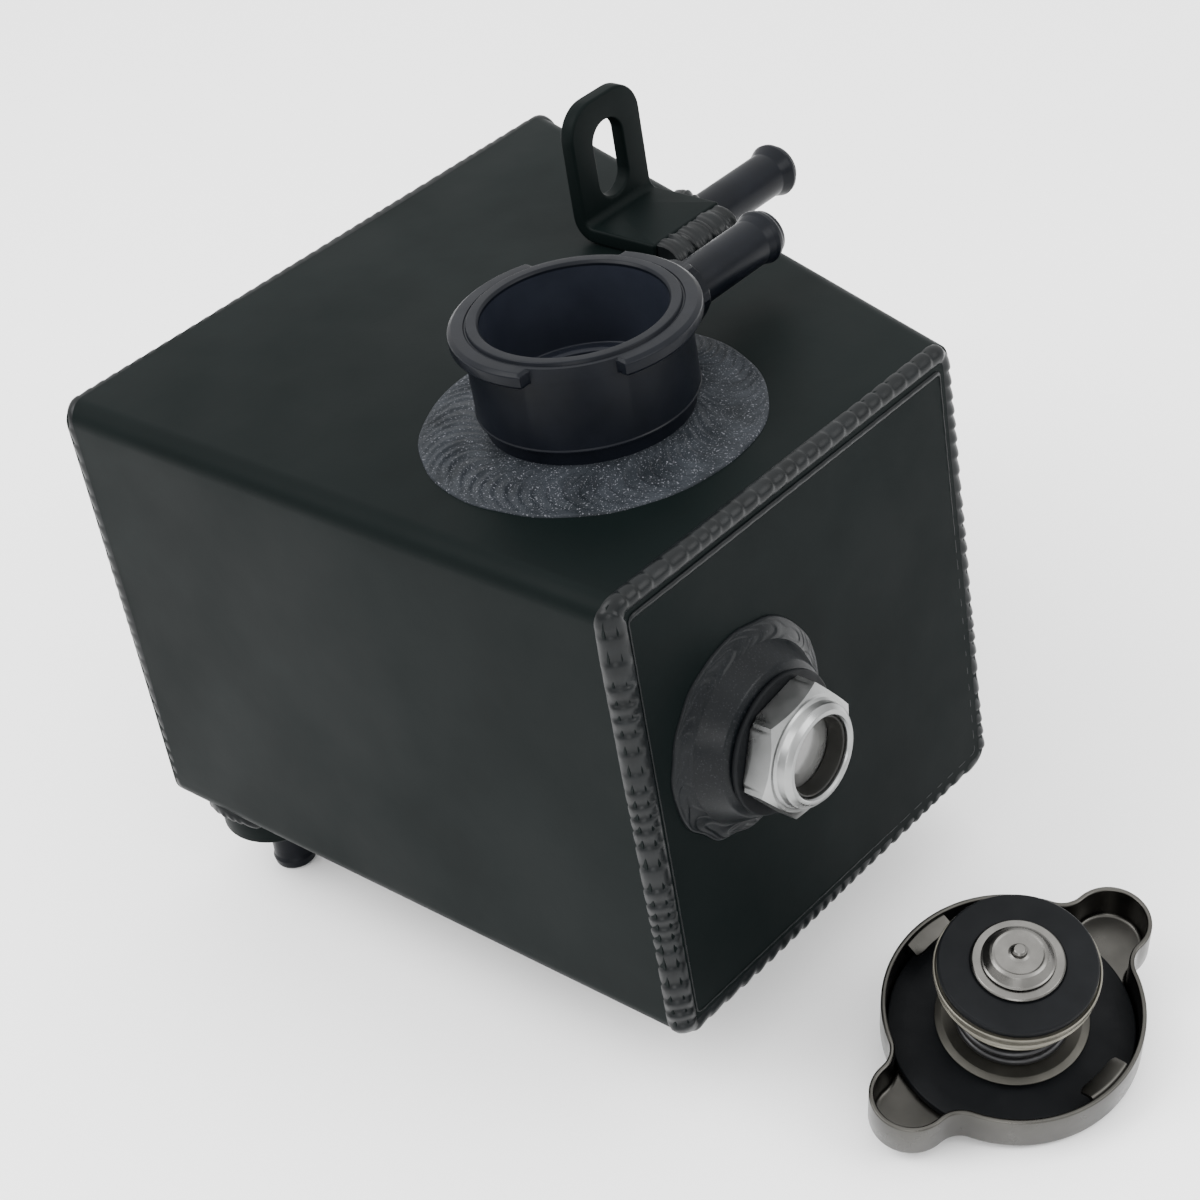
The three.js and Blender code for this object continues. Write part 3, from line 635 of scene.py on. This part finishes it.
def overflow_spigot():
    low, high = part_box("overflow_spigot")
    axis = middle("overflow_spigot")
    base = Vector((axis.x, NECK.y, axis.z))
    matrix = axes_at(base, (0, 1, 0), (1, 0, 0))
    end = (high[1] - NECK.y) / MM
    tail = lathe("overflow_tail", tail_profile(
        tube=5.6, bore=3.6, start=21.5, bulge=end - 2.8, end=end, bulge_r=6.5), matrix, 72)
    finished(tail, neck_coat, "tank", ["overflow_spigot"])
    hex_start, hex_end, flats = 24.2, 35.3, 14
    corner = 8.05
    nut = lathe("overflow_hex", [
        (4.5, hex_start, 0), (corner - 0.45, hex_start, 0), (corner, hex_start + 0.7, 0),
        (corner, hex_end - 1.1, 0), (flats / 2 + 0.2, hex_end, 0.2), (4.5, hex_end, 0)],
        matrix, 180, hexagon_shape(flats, 0, hex_end, face_r=flats / 2, fall=0.9))
    return finished(nut, neck_coat, "tank", sharp=25)


# ---- bracket, tails and bung ----
STRIP = 4.0                   # the bracket's sheet, in mm
FOLD = 2.0                    # its inside bend radius
TAB_CORNER = 8.5              # the radius of the tab's two top corners
SLOT_HALF = 5.2               # half the slot's width
SLOT_TOP, SLOT_FOOT = 6.8, 26.7     # the slot's two ends, down from the tab's top
BEND_STEPS = 12


def away_from_metal(loop):
    """Unit normals in the strip's plane, pointing out of the metal that lies on the left."""
    along = np.roll(loop, -1, axis=0) - np.roll(loop, 1, axis=0)
    along /= np.linalg.norm(along, axis=1)[:, None]
    return np.column_stack([along[:, 1], -along[:, 0]])


def flat_strip(loops, edge=0.7, steps=4):
    """A flat plate with rounded edges as a bmesh, from an outline and its holes in mm."""
    build = bmesh.new()
    half = STRIP / 2
    turns = np.linspace(0, math.pi / 2, steps + 1)
    rise = [(edge * (1 - math.sin(a)), -half + edge * (1 - math.cos(a))) for a in turns]
    rings = rise + [(inset, -t) for inset, t in reversed(rise)]
    first, last = [], []
    for loop in loops:
        normals = away_from_metal(loop)
        grid = [[build.verts.new((*(p - n * inset), t)) for p, n in zip(loop, normals)]
                for inset, t in rings]
        count = len(loop)
        for a, b in zip(grid, grid[1:]):
            for k in range(count):
                build.faces.new((a[k], a[(k + 1) % count], b[(k + 1) % count], b[k]))
        for ring, edges in ((grid[0], first), (grid[-1], last)):
            edges += [build.edges.get((ring[k], ring[(k + 1) % count])) for k in range(count)]
    for edges in (first, last):
        bmesh.ops.triangle_fill(build, use_beauty=True, use_dissolve=False, edges=edges)
    return build


def bracket():
    """The slotted tab, cut flat and then bent, and the weld along its foot."""
    low, high = (Vector(c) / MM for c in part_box("mounting_bracket"))
    width = (high.y - low.y) / 2
    tab = high.z - low.z - STRIP - FOLD
    neutral = FOLD + STRIP / 2
    arc = neutral * math.pi / 2
    total = tab + arc + high.x - low.x - STRIP - FOLD
    outer = np.array(rounded([
        (-width, 0, TAB_CORNER), (width, 0, TAB_CORNER), (width, total, 0.8),
        (-width, total, 0.8)], 14))
    inner = np.array(rounded([
        (-SLOT_HALF, SLOT_TOP, SLOT_HALF), (-SLOT_HALF, SLOT_FOOT, SLOT_HALF),
        (SLOT_HALF, SLOT_FOOT, SLOT_HALF), (SLOT_HALF, SLOT_TOP, SLOT_HALF)], 14))
    build = flat_strip([outer, inner])
    for k in range(BEND_STEPS + 1):
        bmesh.ops.bisect_plane(build, geom=[*build.verts, *build.edges, *build.faces],
                               plane_co=(0, tab + arc * k / BEND_STEPS, 0), plane_no=(0, 1, 0))
    centre_x, centre_z = low.x + STRIP + FOLD, low.z + STRIP + FOLD
    for vert in build.verts:
        across, run, t = vert.co
        if run <= tab:
            x, z = low.x + STRIP / 2 - t, high.z - run
        elif run < tab + arc:
            turned = (run - tab) / neutral
            x = centre_x - (neutral + t) * math.cos(turned)
            z = centre_z - (neutral + t) * math.sin(turned)
        else:
            x, z = centre_x + run - tab - arc, low.z + STRIP / 2 - t
        vert.co = Vector((x, (low.y + high.y) / 2 + across, z)) * MM
    bmesh.ops.recalc_face_normals(build, faces=build.faces)
    mesh = bpy.data.meshes.new("bracket_plate")
    build.to_mesh(mesh)
    build.free()
    plate = bpy.data.objects.new("bracket_plate", mesh)
    bpy.context.scene.collection.objects.link(plate)
    finished(plate, powder, "tank", ["mounting_bracket"], sharp=50)
    low, high = (Vector(c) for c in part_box("bracket_weld"))
    count = 150
    y = np.linspace(low.y + 0.5 * MM, high.y - 0.5 * MM, count)
    path = np.stack([np.full(count, low.x - 0.4 * MM), y, np.full(count, TOP_Z - 0.2 * MM)], axis=1)
    ones = np.ones((count, 1))
    obj = bead("bracket_end_weld", path, ones * np.array((1.0, 0, 0)), ones * np.array((0, 0, 1.0)),
               radius=4.0 * MM, pitch=7.4 * MM, ripple=0.5 * MM, closed=False, seed=21,
               flat=1.5, fade=0.95, lean=0.9)
    return finished(obj, bead_coat, "tank", ["bracket_weld"], sharp=60)


def fold_falls(past):
    """How far the wrap's skin falls away, this far past where a fold starts."""
    past = np.clip(past, 0, BEND * 0.98)
    return BEND - np.sqrt(BEND ** 2 - past ** 2)


def return_tail():
    low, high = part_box("return_tail")
    axis = middle("return_tail")
    matrix = axes_at(Vector((axis.x, low[1], axis.z)), (0, 1, 0), (1, 0, 0))
    end = (high[1] - low[1]) / MM
    obj = lathe("return_tail_turned", tail_profile(
        tube=5.9, bore=4.2, start=0, bulge=end - 2.6, end=end, bulge_r=7.1), matrix, 72)
    finished(obj, neck_coat, "tank", ["return_tail"])
    theta = np.linspace(0, TAU, 160, endpoint=False)
    ring_r = 7.2 * MM
    x = axis.x + ring_r * np.cos(theta)
    z = axis.z + ring_r * np.sin(theta)
    back = FRONT_Y + depth_at(x) - fold_falls(z - (TOP_Z - BEND))
    path = np.stack([x, back, z], axis=1)
    out = np.stack([np.cos(theta), 0 * theta, np.sin(theta)], axis=1)
    side = np.tile((0, 1.0, 0), (len(theta), 1))
    weld = bead("return_ring_weld", path, out, side, radius=2.2 * MM, pitch=3.4 * MM,
                ripple=0.45 * MM, seed=31)
    return finished(weld, bead_coat, "tank", ["return_tail_weld"], sharp=60)


def outlet():
    axis = middle("outlet_bung")
    low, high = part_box("outlet_bung")
    radius = (high[0] - low[0]) / 2 / MM
    matrix = axes_at(Vector((axis.x, axis.y, BASE_Z)), (0, 0, 1))
    drop = (low[2] - BASE_Z) / MM
    obj = lathe("outlet_bung_turned", [
        (5.6, drop, 0.3), (radius, drop, 0.8), (radius, -0.2, 0.3), (11, -0.2, 0), (11, 2.5, 0),
        (5.6, 2.5, 0)], matrix, 120)
    finished(obj, powder, "tank", ["outlet_bung"])
    down = axes_at(Vector((axis.x, axis.y, BASE_Z)), (0, 0, -1))
    end = (BASE_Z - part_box("outlet_tail")[0][2]) / MM
    tail = lathe("outlet_tail_turned", tail_profile(
        tube=5.2, bore=3.2, start=-3, bulge=end - 2.2, end=end, bulge_r=5.7), down, 72)
    finished(tail, neck_coat, "tank", ["outlet_tail"])
    theta = np.linspace(0, TAU, 260, endpoint=False)
    ring_r = (radius + 0.6) * MM
    y = axis.y + ring_r * np.sin(theta)
    x = axis.x + ring_r * np.cos(theta)
    z = BASE_Z + fold_falls(FRONT_Y + BEND - y)
    path = np.stack([x, y, z], axis=1)
    out = np.stack([np.cos(theta), np.sin(theta), 0 * theta], axis=1)
    side = np.tile((0, 0, -1.0), (len(theta), 1))
    weld = bead("outlet_ring_weld", path, out, side, radius=1.7 * MM, pitch=3.6 * MM,
                ripple=0.4 * MM, seed=41)
    return finished(weld, bead_coat, "tank", ["outlet_bung_weld"], sharp=60)


# ---- sight glass ----
SIGHT_FAN_R = 24.6            # in mm, like the sizes below
HEX_FLATS, HEX_TURN = 27, math.radians(8)
HEX_FACE_R, HEX_FALL = 13.2, 2.03   # where the chamfer's cone starts, and how it widens
WINDOW_R = 9.25


def off_right_end(node, corner):
    """How far the low (0) or high (1) end of a node stands off the tank's right end, in mm."""
    return (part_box(node)[corner][0] - RIGHT_X) / MM


def sight_glass():
    axis = middle("sight_body")
    at = axes_at(Vector((RIGHT_X, axis.y, axis.z)), (1, 0, 0), (0, 1, 0))
    boss_end = off_right_end("sight_boss", 1)
    boss_r = (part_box("sight_boss")[1][1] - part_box("sight_boss")[0][1]) / 2 / MM
    finished(lathe("sight_boss_turned", [
        (10.5, 0, 0), (boss_r, -0.4, 0), (boss_r, 2, 1.5), (17.6, boss_end - 1.1, 1.2),
        (15.6, boss_end, 0.5), (10.5, boss_end, 0.3)],
        at, 144), boss_coat, "tank", ["sight_boss"])
    finished(fan("sight_fan_weld", at, boss_r - 0.8, SIGHT_FAN_R, rise=2.2, waves=26,
                 ripple=0.16, crescent=-1.4, rows=960, seed=51, power=1.2),
             boss_coat, "tank", ["sight_boss_weld"], sharp=70)
    seal_low, seal_high = off_right_end("sight_seal", 0), off_right_end("sight_seal", 1)
    finished(lathe("sight_seal_ring", [
        (10.4, seal_low, 0.1), (16.4, seal_low, 0.6), (16.4, seal_high, 0.6),
        (10.4, seal_high, 0.1)], at, 120),
        rubber, "tank", ["sight_seal"])
    hex_start, hex_end = seal_high + 0.3, seal_high + 6.7
    rim = off_right_end("sight_body", 1)
    corner = HEX_FLATS / math.sqrt(3) + 0.1
    shank_r, passage_r = 10.3, 7.4
    finished(lathe("sight_hex_body", [
        (WINDOW_R, rim - 0.5, 0.3), (9.6, rim, 0.25), (10.6, rim, 0.4), (11.7, rim - 1.1, 0.6),
        (11.9, hex_end + 0.5, 0.4), (12.4, hex_end, 0.25), (HEX_FACE_R, hex_end, 0),
        (corner, hex_end - (corner - HEX_FACE_R) / HEX_FALL, 0), (corner, hex_start + 0.6, 0),
        (corner - 0.9, hex_start, 0), (shank_r, hex_start, 0), (shank_r, -7, 0),
        (passage_r, -7, 0), (passage_r, rim - 8.7, 0), (WINDOW_R, rim - 8.5, 0)], at, 360,
        hexagon_shape(HEX_FLATS, HEX_TURN, hex_end, HEX_FACE_R, HEX_FALL)),
        zinc, "tank", ["sight_body"], sharp=22)
    glass_face = off_right_end("sight_window", 1)
    finished(lathe("sight_glass_disc", [
        (0, glass_face - 3, 0), (8.9, glass_face - 3, 0.3), (8.9, glass_face - 0.3, 0.3),
        (5.2, glass_face + 0.25, 3), (0, glass_face + 0.3, 0)], at, 96),
        glass, "tank", ["sight_window"])
    finished(lathe("sight_inner_ring", [
        (8.1, glass_face + 0.2, 0.2), (WINDOW_R - 0.1, glass_face + 0.2, 0),
        (WINDOW_R - 0.1, rim - 1.1, 0.2), (8.6, rim - 1.1, 0.3)], at, 96),
        inner_grey, "tank", ["sight_retainer"])


# ---- pressure cap ----
joints = {joint["name"]: joint for joint in frame["joints"]}
swivel = joints["stem_swivel"]
CAP_AXIS = Vector(swivel["axis"])
EARS_AT = math.radians(80.5)
LEAN_AXIS = Vector((-CAP_AXIS.y, CAP_AXIS.x, 0)).normalized()
LEAN = Matrix.Rotation(math.acos(CAP_AXIS.z), 4, LEAN_AXIS)
CAP_AT = Matrix.Translation(Vector(swivel["pos_m"])) @ LEAN @ Matrix.Rotation(EARS_AT, 4, "Z")
# Sizes in mm. Heights run from the inside of the cap's floor out of its open side.
SHELL_R, EAR_R, EAR_AT, EAR_FILLET = 29.3, 9.3, 32.0, 6.0
CAP_SHEET, RIM_W, CROWN_R, CROWN_RISE = 1.2, 10.0, 18.0, 4.4
FLOOR_EDGE = 4.0              # how far in from the shell's outline the floor's rings start
RIVET_HOLE_R = 2.2
STEM_HOLE_R = 2.3
TAB_TURNS = {"cap_tab_a": 90, "cap_tab_b": -87}
TAB_HALF, TAB_INNER = 5.8, 23.8
BELL_R, BELL_LOW, BELL_LIP, BELL_LIP_R = 10.5, 5.9, 18.9, 12.0
BELL_WALL = 1.2
CUP_LOW, CUP_R, CUP_TOP = 17.6, 15.3, 25.6
CUP_WALL = 1.0
SEAL_LOW, SEAL_TOP = 25.9, 28.4
VALVE_SEAT = 29.7
VALVE_STEM_R = 1.5


def cap_outline(inset, per_arc=(12, 30, 12, 60)):
    """The cap's plan outline with its two ears, moved in by an inset, as matching points."""
    big, small, fillet = SHELL_R - inset, EAR_R - inset, EAR_FILLET + inset
    fx = ((big + fillet) ** 2 - (small + fillet) ** 2 + EAR_AT ** 2) / (2 * EAR_AT)
    fy = math.sqrt((big + fillet) ** 2 - fx ** 2)
    on_shell, on_ear = math.atan2(fy, fx), math.atan2(fy, fx - EAR_AT)
    arcs = [
        (fx, -fy, fillet, math.pi - on_shell, math.pi - on_ear),
        (EAR_AT, 0, small, -on_ear, on_ear),
        (fx, fy, fillet, on_ear + math.pi, on_shell + math.pi),
        (0, 0, big, on_shell, math.pi - on_shell)]
    points = []
    for side in (0, math.pi):
        for (cx, cy, radius, start, end), count in zip(arcs, per_arc):
            for k in range(count):
                angle = start + (end - start) * k / count
                x, y = cx + radius * math.cos(angle), cy + radius * math.sin(angle)
                points.append((x * math.cos(side) - y * math.sin(side),
                               x * math.sin(side) + y * math.cos(side)))
    return np.array(points)


def cap_shell():
    """The pressed shell: a wall that follows the outline, a floor and a raised crown."""
    section = rounded([
        (CAP_SHEET, 0.0, 1.0), (CAP_SHEET, RIM_W, 0.45), (0.0, RIM_W, 0.45),
        (0.0, -CAP_SHEET, 1.6), (FLOOR_EDGE, -CAP_SHEET, 0), (FLOOR_EDGE, 0.0, 0)], 5)
    columns = []
    for inset, w in section:
        plan = cap_outline(inset)
        columns.append(np.column_stack([plan, np.full(len(plan), w)]))
    grid = np.stack(columns, axis=1)
    rim = cap_outline(FLOOR_EDGE)
    # From the foot of the wall the floor runs in to the raised crown and its rivet hole, first
    # along its outside and then back along its inside.
    outside = rounded([
        (CROWN_R + 3, -CAP_SHEET, 0), (CROWN_R, -CAP_SHEET, 0.9), (CROWN_R - 0.9, -CROWN_RISE, 1.2),
        (RIVET_HOLE_R, -CROWN_RISE, 0)], 5)
    inside = rounded([
        (RIVET_HOLE_R, -CROWN_RISE + CAP_SHEET, 0), (CROWN_R - 2.1, -CROWN_RISE + CAP_SHEET, 1.2),
        (CROWN_R - 1.2, 0, 0.9), (CROWN_R + 3, 0, 0)], 5)
    floor = [np.column_stack([rim, np.full(len(rim), -CAP_SHEET)])]
    angles = np.arctan2(rim[:, 1], rim[:, 0])
    for radius, w in outside + inside:
        floor.append(np.column_stack([radius * np.cos(angles), radius * np.sin(angles),
                                      np.full(len(rim), w)]))
    whole = np.concatenate([grid[:, :-2], np.stack(floor, axis=1)], axis=1)
    obj = grid_object("cap_shell_pressed", placed(whole, CAP_AT), True, True)
    finished(obj, nickel, "cap", ["cap_shell"], sharp=40)
    for name, turn in TAB_TURNS.items():
        cap_tab(name, math.radians(turn))


def cap_tab(name, turn):
    """A cam tab: the rim's edge folded inwards, with rounded corners and a slight dip."""
    rows = []
    for across in np.linspace(-1, 1, 25):
        inner = TAB_INNER + 0.9 * abs(across) ** 6
        section = rounded([
            (28.5, 5.0, 0), (28.5, 9.2, 0.4), (27.6, 10.1, 0.6), (inner + 0.1, 9.0, 0.3),
            (inner, 8.0, 0.3), (27.2, 8.9, 0.5), (27.6, 5.0, 0)], 4)
        rows.append([(r, across * TAB_HALF, w) for r, w in section])
    grid = np.array(rows)
    bow = np.sqrt(np.maximum(grid[..., 0] ** 2 - grid[..., 1] ** 2, 1)) - grid[..., 0]
    grid[..., 0] += bow
    obj = grid_object(name, placed(grid, CAP_AT @ Matrix.Rotation(turn, 4, "Z")), False, True,
                      cap_rows=True)
    return finished(obj, nickel, "cap", sharp=35)


def spring(name, radius, wire, low, high, turns, body, node):
    """A compression spring whose end turns lie flat, and which a slide joint shortens.

    radius is to the middle of the wire, and wire is the wire's own radius.
    """
    per_turn, around, closed_ends = 60, 14, 0.7
    count = int(turns * per_turn)
    t = np.linspace(0, turns, count)
    active = np.clip((t - closed_ends) / (turns - 2 * closed_ends), 0, 1)
    lift = low + wire + (high - low - 2 * wire) * active
    angle = TAU * t
    path = np.stack([radius * np.cos(angle), radius * np.sin(angle), lift], axis=1)
    out = np.stack([np.cos(angle), np.sin(angle), 0 * angle], axis=1)
    grid = np.zeros((count, around, 3))
    for j in range(around):
        a = TAU * j / around
        grid[:, j] = path + out * wire * math.cos(a) + np.array((0, 0, 1.0)) * wire * math.sin(a)
    obj = grid_object(name, placed(grid, CAP_AT), False, True, cap_rows=True)
    finished(obj, spring_dark, body, [node])
    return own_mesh(obj)


def cap_inside():
    def part(name, profile, mat, body, nodes, segments=144):
        return finished(lathe(name, profile, CAP_AT, segments), mat, body, nodes)

    part("cap_gasket_ring", [
        (12, 0.3, 0), (27.7, 0.3, 0.4), (27.7, 2.3, 0.5), (24, 2.5, 0.4), (12, 2.5, 0)],
        rubber, "cap", ["cap_gasket"])
    part("cap_diaphragm_disc", [
        (STEM_HOLE_R, 4.7, 0), (17.2, 4.7, 0.2), (17.3, 5.1, 0.2), (15.6, 5.6, 1.0), (13, 5.5, 1.0),
        (STEM_HOLE_R, 5.5, 0)], olive, "cap", ["cap_diaphragm"])
    part("cap_rivet_turned", [
        (0, -6.0, 0), (2.6, -6.0, 0.5), (4, -5.0, 0.4), (4, -4.6, 0.1), (2, -4.6, 0), (2, 7.4, 0),
        (4, 7.4, 0.1), (4, 7.9, 0.3), (2.8, 8.6, 0.4), (0, 8.7, 0)],
        nickel, "cap", ["cap_rivet"], 48)
    part("cap_bell_turned", [
        (STEM_HOLE_R, BELL_LOW, 0), (BELL_R, BELL_LOW, 0.8), (BELL_R, BELL_LIP, 0.4),
        (BELL_LIP_R, BELL_LIP, 0.2), (BELL_LIP_R, BELL_LIP + 1, 0.3),
        (BELL_R - BELL_WALL, BELL_LIP + 1, 0.3), (BELL_R - BELL_WALL, BELL_LOW + BELL_WALL, 0.5),
        (STEM_HOLE_R, BELL_LOW + BELL_WALL, 0)],
        chromate, "cap_stem", ["cap_bell"])
    spring("valve_spring", radius=12.3, wire=0.9, low=BELL_LOW, high=CUP_LOW - 0.3, turns=4.2,
           body="cap_stem", node="pressure_spring")
    cup_floor = CUP_TOP - CUP_WALL
    part("valve_cup", [
        (2, cup_floor, 0), (16.6, cup_floor, 0.4), (16.6, 22.9, 0.5), (CUP_R - CUP_WALL, 21.2, 0.5),
        (CUP_R - CUP_WALL, CUP_LOW + CUP_WALL, 0.4), (11, CUP_LOW + CUP_WALL, 0.2),
        (11, CUP_LOW, 0.2), (CUP_R + 0.6, CUP_LOW, 0.25), (CUP_R + 0.6, CUP_LOW + 0.5, 0.25),
        (CUP_R, CUP_LOW + 0.9, 0.3), (CUP_R, CUP_LOW + 3, 0.8), (17.6, 21.9, 0.4),
        (17.95, 22.3, 0.25), (17.6, 22.7, 0.3), (17.6, 24.4, 0.3), (18.3, cup_floor, 0.2),
        (18.35, CUP_TOP + 0.5, 0.25), (17.9, CUP_TOP + 0.5, 0.2), (17.7, CUP_TOP, 0.2),
        (2, CUP_TOP, 0)],
        chromate, "pressure_valve", ["pressure_plate"])
    part("valve_seal", [
        (7, SEAL_LOW, 0), (17.4, SEAL_LOW, 0.3), (17.6, SEAL_TOP - 0.5, 0.5), (17.1, SEAL_TOP, 0.5),
        (10.6, SEAL_TOP, 0.2), (10.3, SEAL_TOP - 0.2, 0.1), (7, SEAL_TOP - 0.2, 0)],
        rubber, "pressure_valve", ["pressure_seal"])
    part("seal_clamp_ring", [
        (5.2, SEAL_LOW, 0), (6.7, SEAL_LOW, 0), (6.7, SEAL_TOP + 0.1, 0),
        (10.1, SEAL_TOP + 0.1, 0.15), (10.4, 28.95, 0.3), (9.9, SEAL_TOP + 1, 0.35),
        (8.6, SEAL_TOP + 1, 0.1), (5.2, SEAL_TOP + 0.9, 0)],
        bright_ring, "pressure_valve", ["seal_retainer"])
    part("vacuum_valve_disc", [
        (0, 18.2, 0), (VALVE_STEM_R, 18.2, 0), (VALVE_STEM_R, VALVE_SEAT, 0),
        (8.0, VALVE_SEAT, 0.1), (8.2, VALVE_SEAT + 0.25, 0.15), (7.7, VALVE_SEAT + 0.5, 0.3),
        (6.4, 31.9, 0.5), (5.7, 32.2, 0.3), (5.2, 32.0, 0.2), (2.4, 32.05, 0.3),
        (1.7, 32.3, 0.2), (1.65, 33.3, 0.2), (1.2, 33.8, 0.4), (0, 33.9, 0)],
        bright_ring, "vacuum_relief", ["vacuum_valve"], 96)
    part("vacuum_washer_turned", [
        (1.8, 18.4, 0.1), (3.6, 18.4, 0.1), (3.6, 19.2, 0.1), (1.8, 19.2, 0.1)],
        nickel, "vacuum_relief", ["vacuum_washer"], 48)
    relief_high = cup_floor - 0.3
    spring("relief_spring", radius=2.6, wire=0.35, low=19.5, high=relief_high, turns=3.4,
           body="pressure_valve", node="vacuum_spring")


tank_body()
for end in ("left", "right"):
    end_bead(end)
    toe_line(end)
    end_plate(end)
seam = frame["nodes"]["wrap_seam_bead"]
seam.data.materials.clear()
seam.data.materials.append(bead_coat)
filler_neck()
neck_weld()
overflow_spigot()
bracket()
return_tail()
outlet()
sight_glass()
cap_shell()
cap_inside()

# ---- floor, light and camera ----
floor_z = min(v[2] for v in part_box("outlet_tail"))
bpy.ops.mesh.primitive_plane_add(size=6, location=(0, 0, floor_z - 0.0003))
ground = bpy.context.object
ground.name = "pale_floor"
ground.data.materials.append(material(
    "pale_floor", (0.95, 0.95, 0.95), (0.97, 0.97, 0.97), (0.6, 0.7), tone_scale=3))

HORIZON_STRENGTH, ZENITH_STRENGTH = 1.0, 3.6
world = bpy.data.worlds.new("studio")
bpy.context.scene.world = world
world.use_nodes = True
sky = world.node_tree
sky.nodes["Background"].inputs["Color"].default_value = (1, 1, 1, 1)
direction = sky.nodes.new("ShaderNodeTexCoord")
parts = sky.nodes.new("ShaderNodeSeparateXYZ")
link(sky, direction.outputs["Generated"], parts.inputs["Vector"])
strength = spread(sky, parts.outputs["Z"], HORIZON_STRENGTH, ZENITH_STRENGTH, 0.0, 1.0)
link(sky, strength, sky.nodes["Background"].inputs["Strength"])

TANK_MIDDLE = Vector(((LEFT_X + RIGHT_X) / 2, FRONT_Y + DEPTH_RIGHT / 2, (BASE_Z + TOP_Z) / 2))


def softbox(name, azimuth, elevation, distance, size, power):
    """A square area light that faces the tank, from a direction in degrees and so many metres."""
    a, e = math.radians(azimuth), math.radians(elevation)
    away = Vector((math.sin(a) * math.cos(e), -math.cos(a) * math.cos(e), math.sin(e)))
    light = bpy.data.lights.new(name, "AREA")
    light.size = size
    light.energy = power
    obj = bpy.data.objects.new(name, light)
    bpy.context.scene.collection.objects.link(obj)
    obj.location = TANK_MIDDLE + away * distance
    obj.rotation_euler = (-away).to_track_quat("-Z", "Y").to_euler()


softbox("key", azimuth=-30, elevation=50, distance=1.1, size=0.7, power=12)
softbox("fill_right", azimuth=105, elevation=32, distance=1.2, size=0.6, power=7)
softbox("front_low", azimuth=38, elevation=16, distance=1.3, size=0.5, power=5)

CAMERA_AZIMUTH = 46.87
CAMERA_ELEVATION = 34.01
CAMERA_ROLL = 10.41
LENS = 80.83                  # in mm, on a sensor 36 mm wide
CAMERA_FROM_CORNER = Vector((0.4908, -0.2989, 0.4153))
camera = bpy.data.objects.new("camera", bpy.data.cameras.new("camera"))
bpy.context.scene.collection.objects.link(camera)
camera.data.lens = LENS
camera.data.sensor_width = 36
camera.data.clip_start = 0.01
camera.location = Vector((LEFT_X, FRONT_Y, BASE_Z)) + CAMERA_FROM_CORNER
turn = Matrix.Rotation(math.radians(CAMERA_AZIMUTH), 4, "Z") \
    @ Matrix.Rotation(math.radians(90 - CAMERA_ELEVATION), 4, "X") \
    @ Matrix.Rotation(math.radians(-CAMERA_ROLL), 4, "Z")
camera.rotation_euler = turn.to_euler()
bpy.context.scene.camera = camera
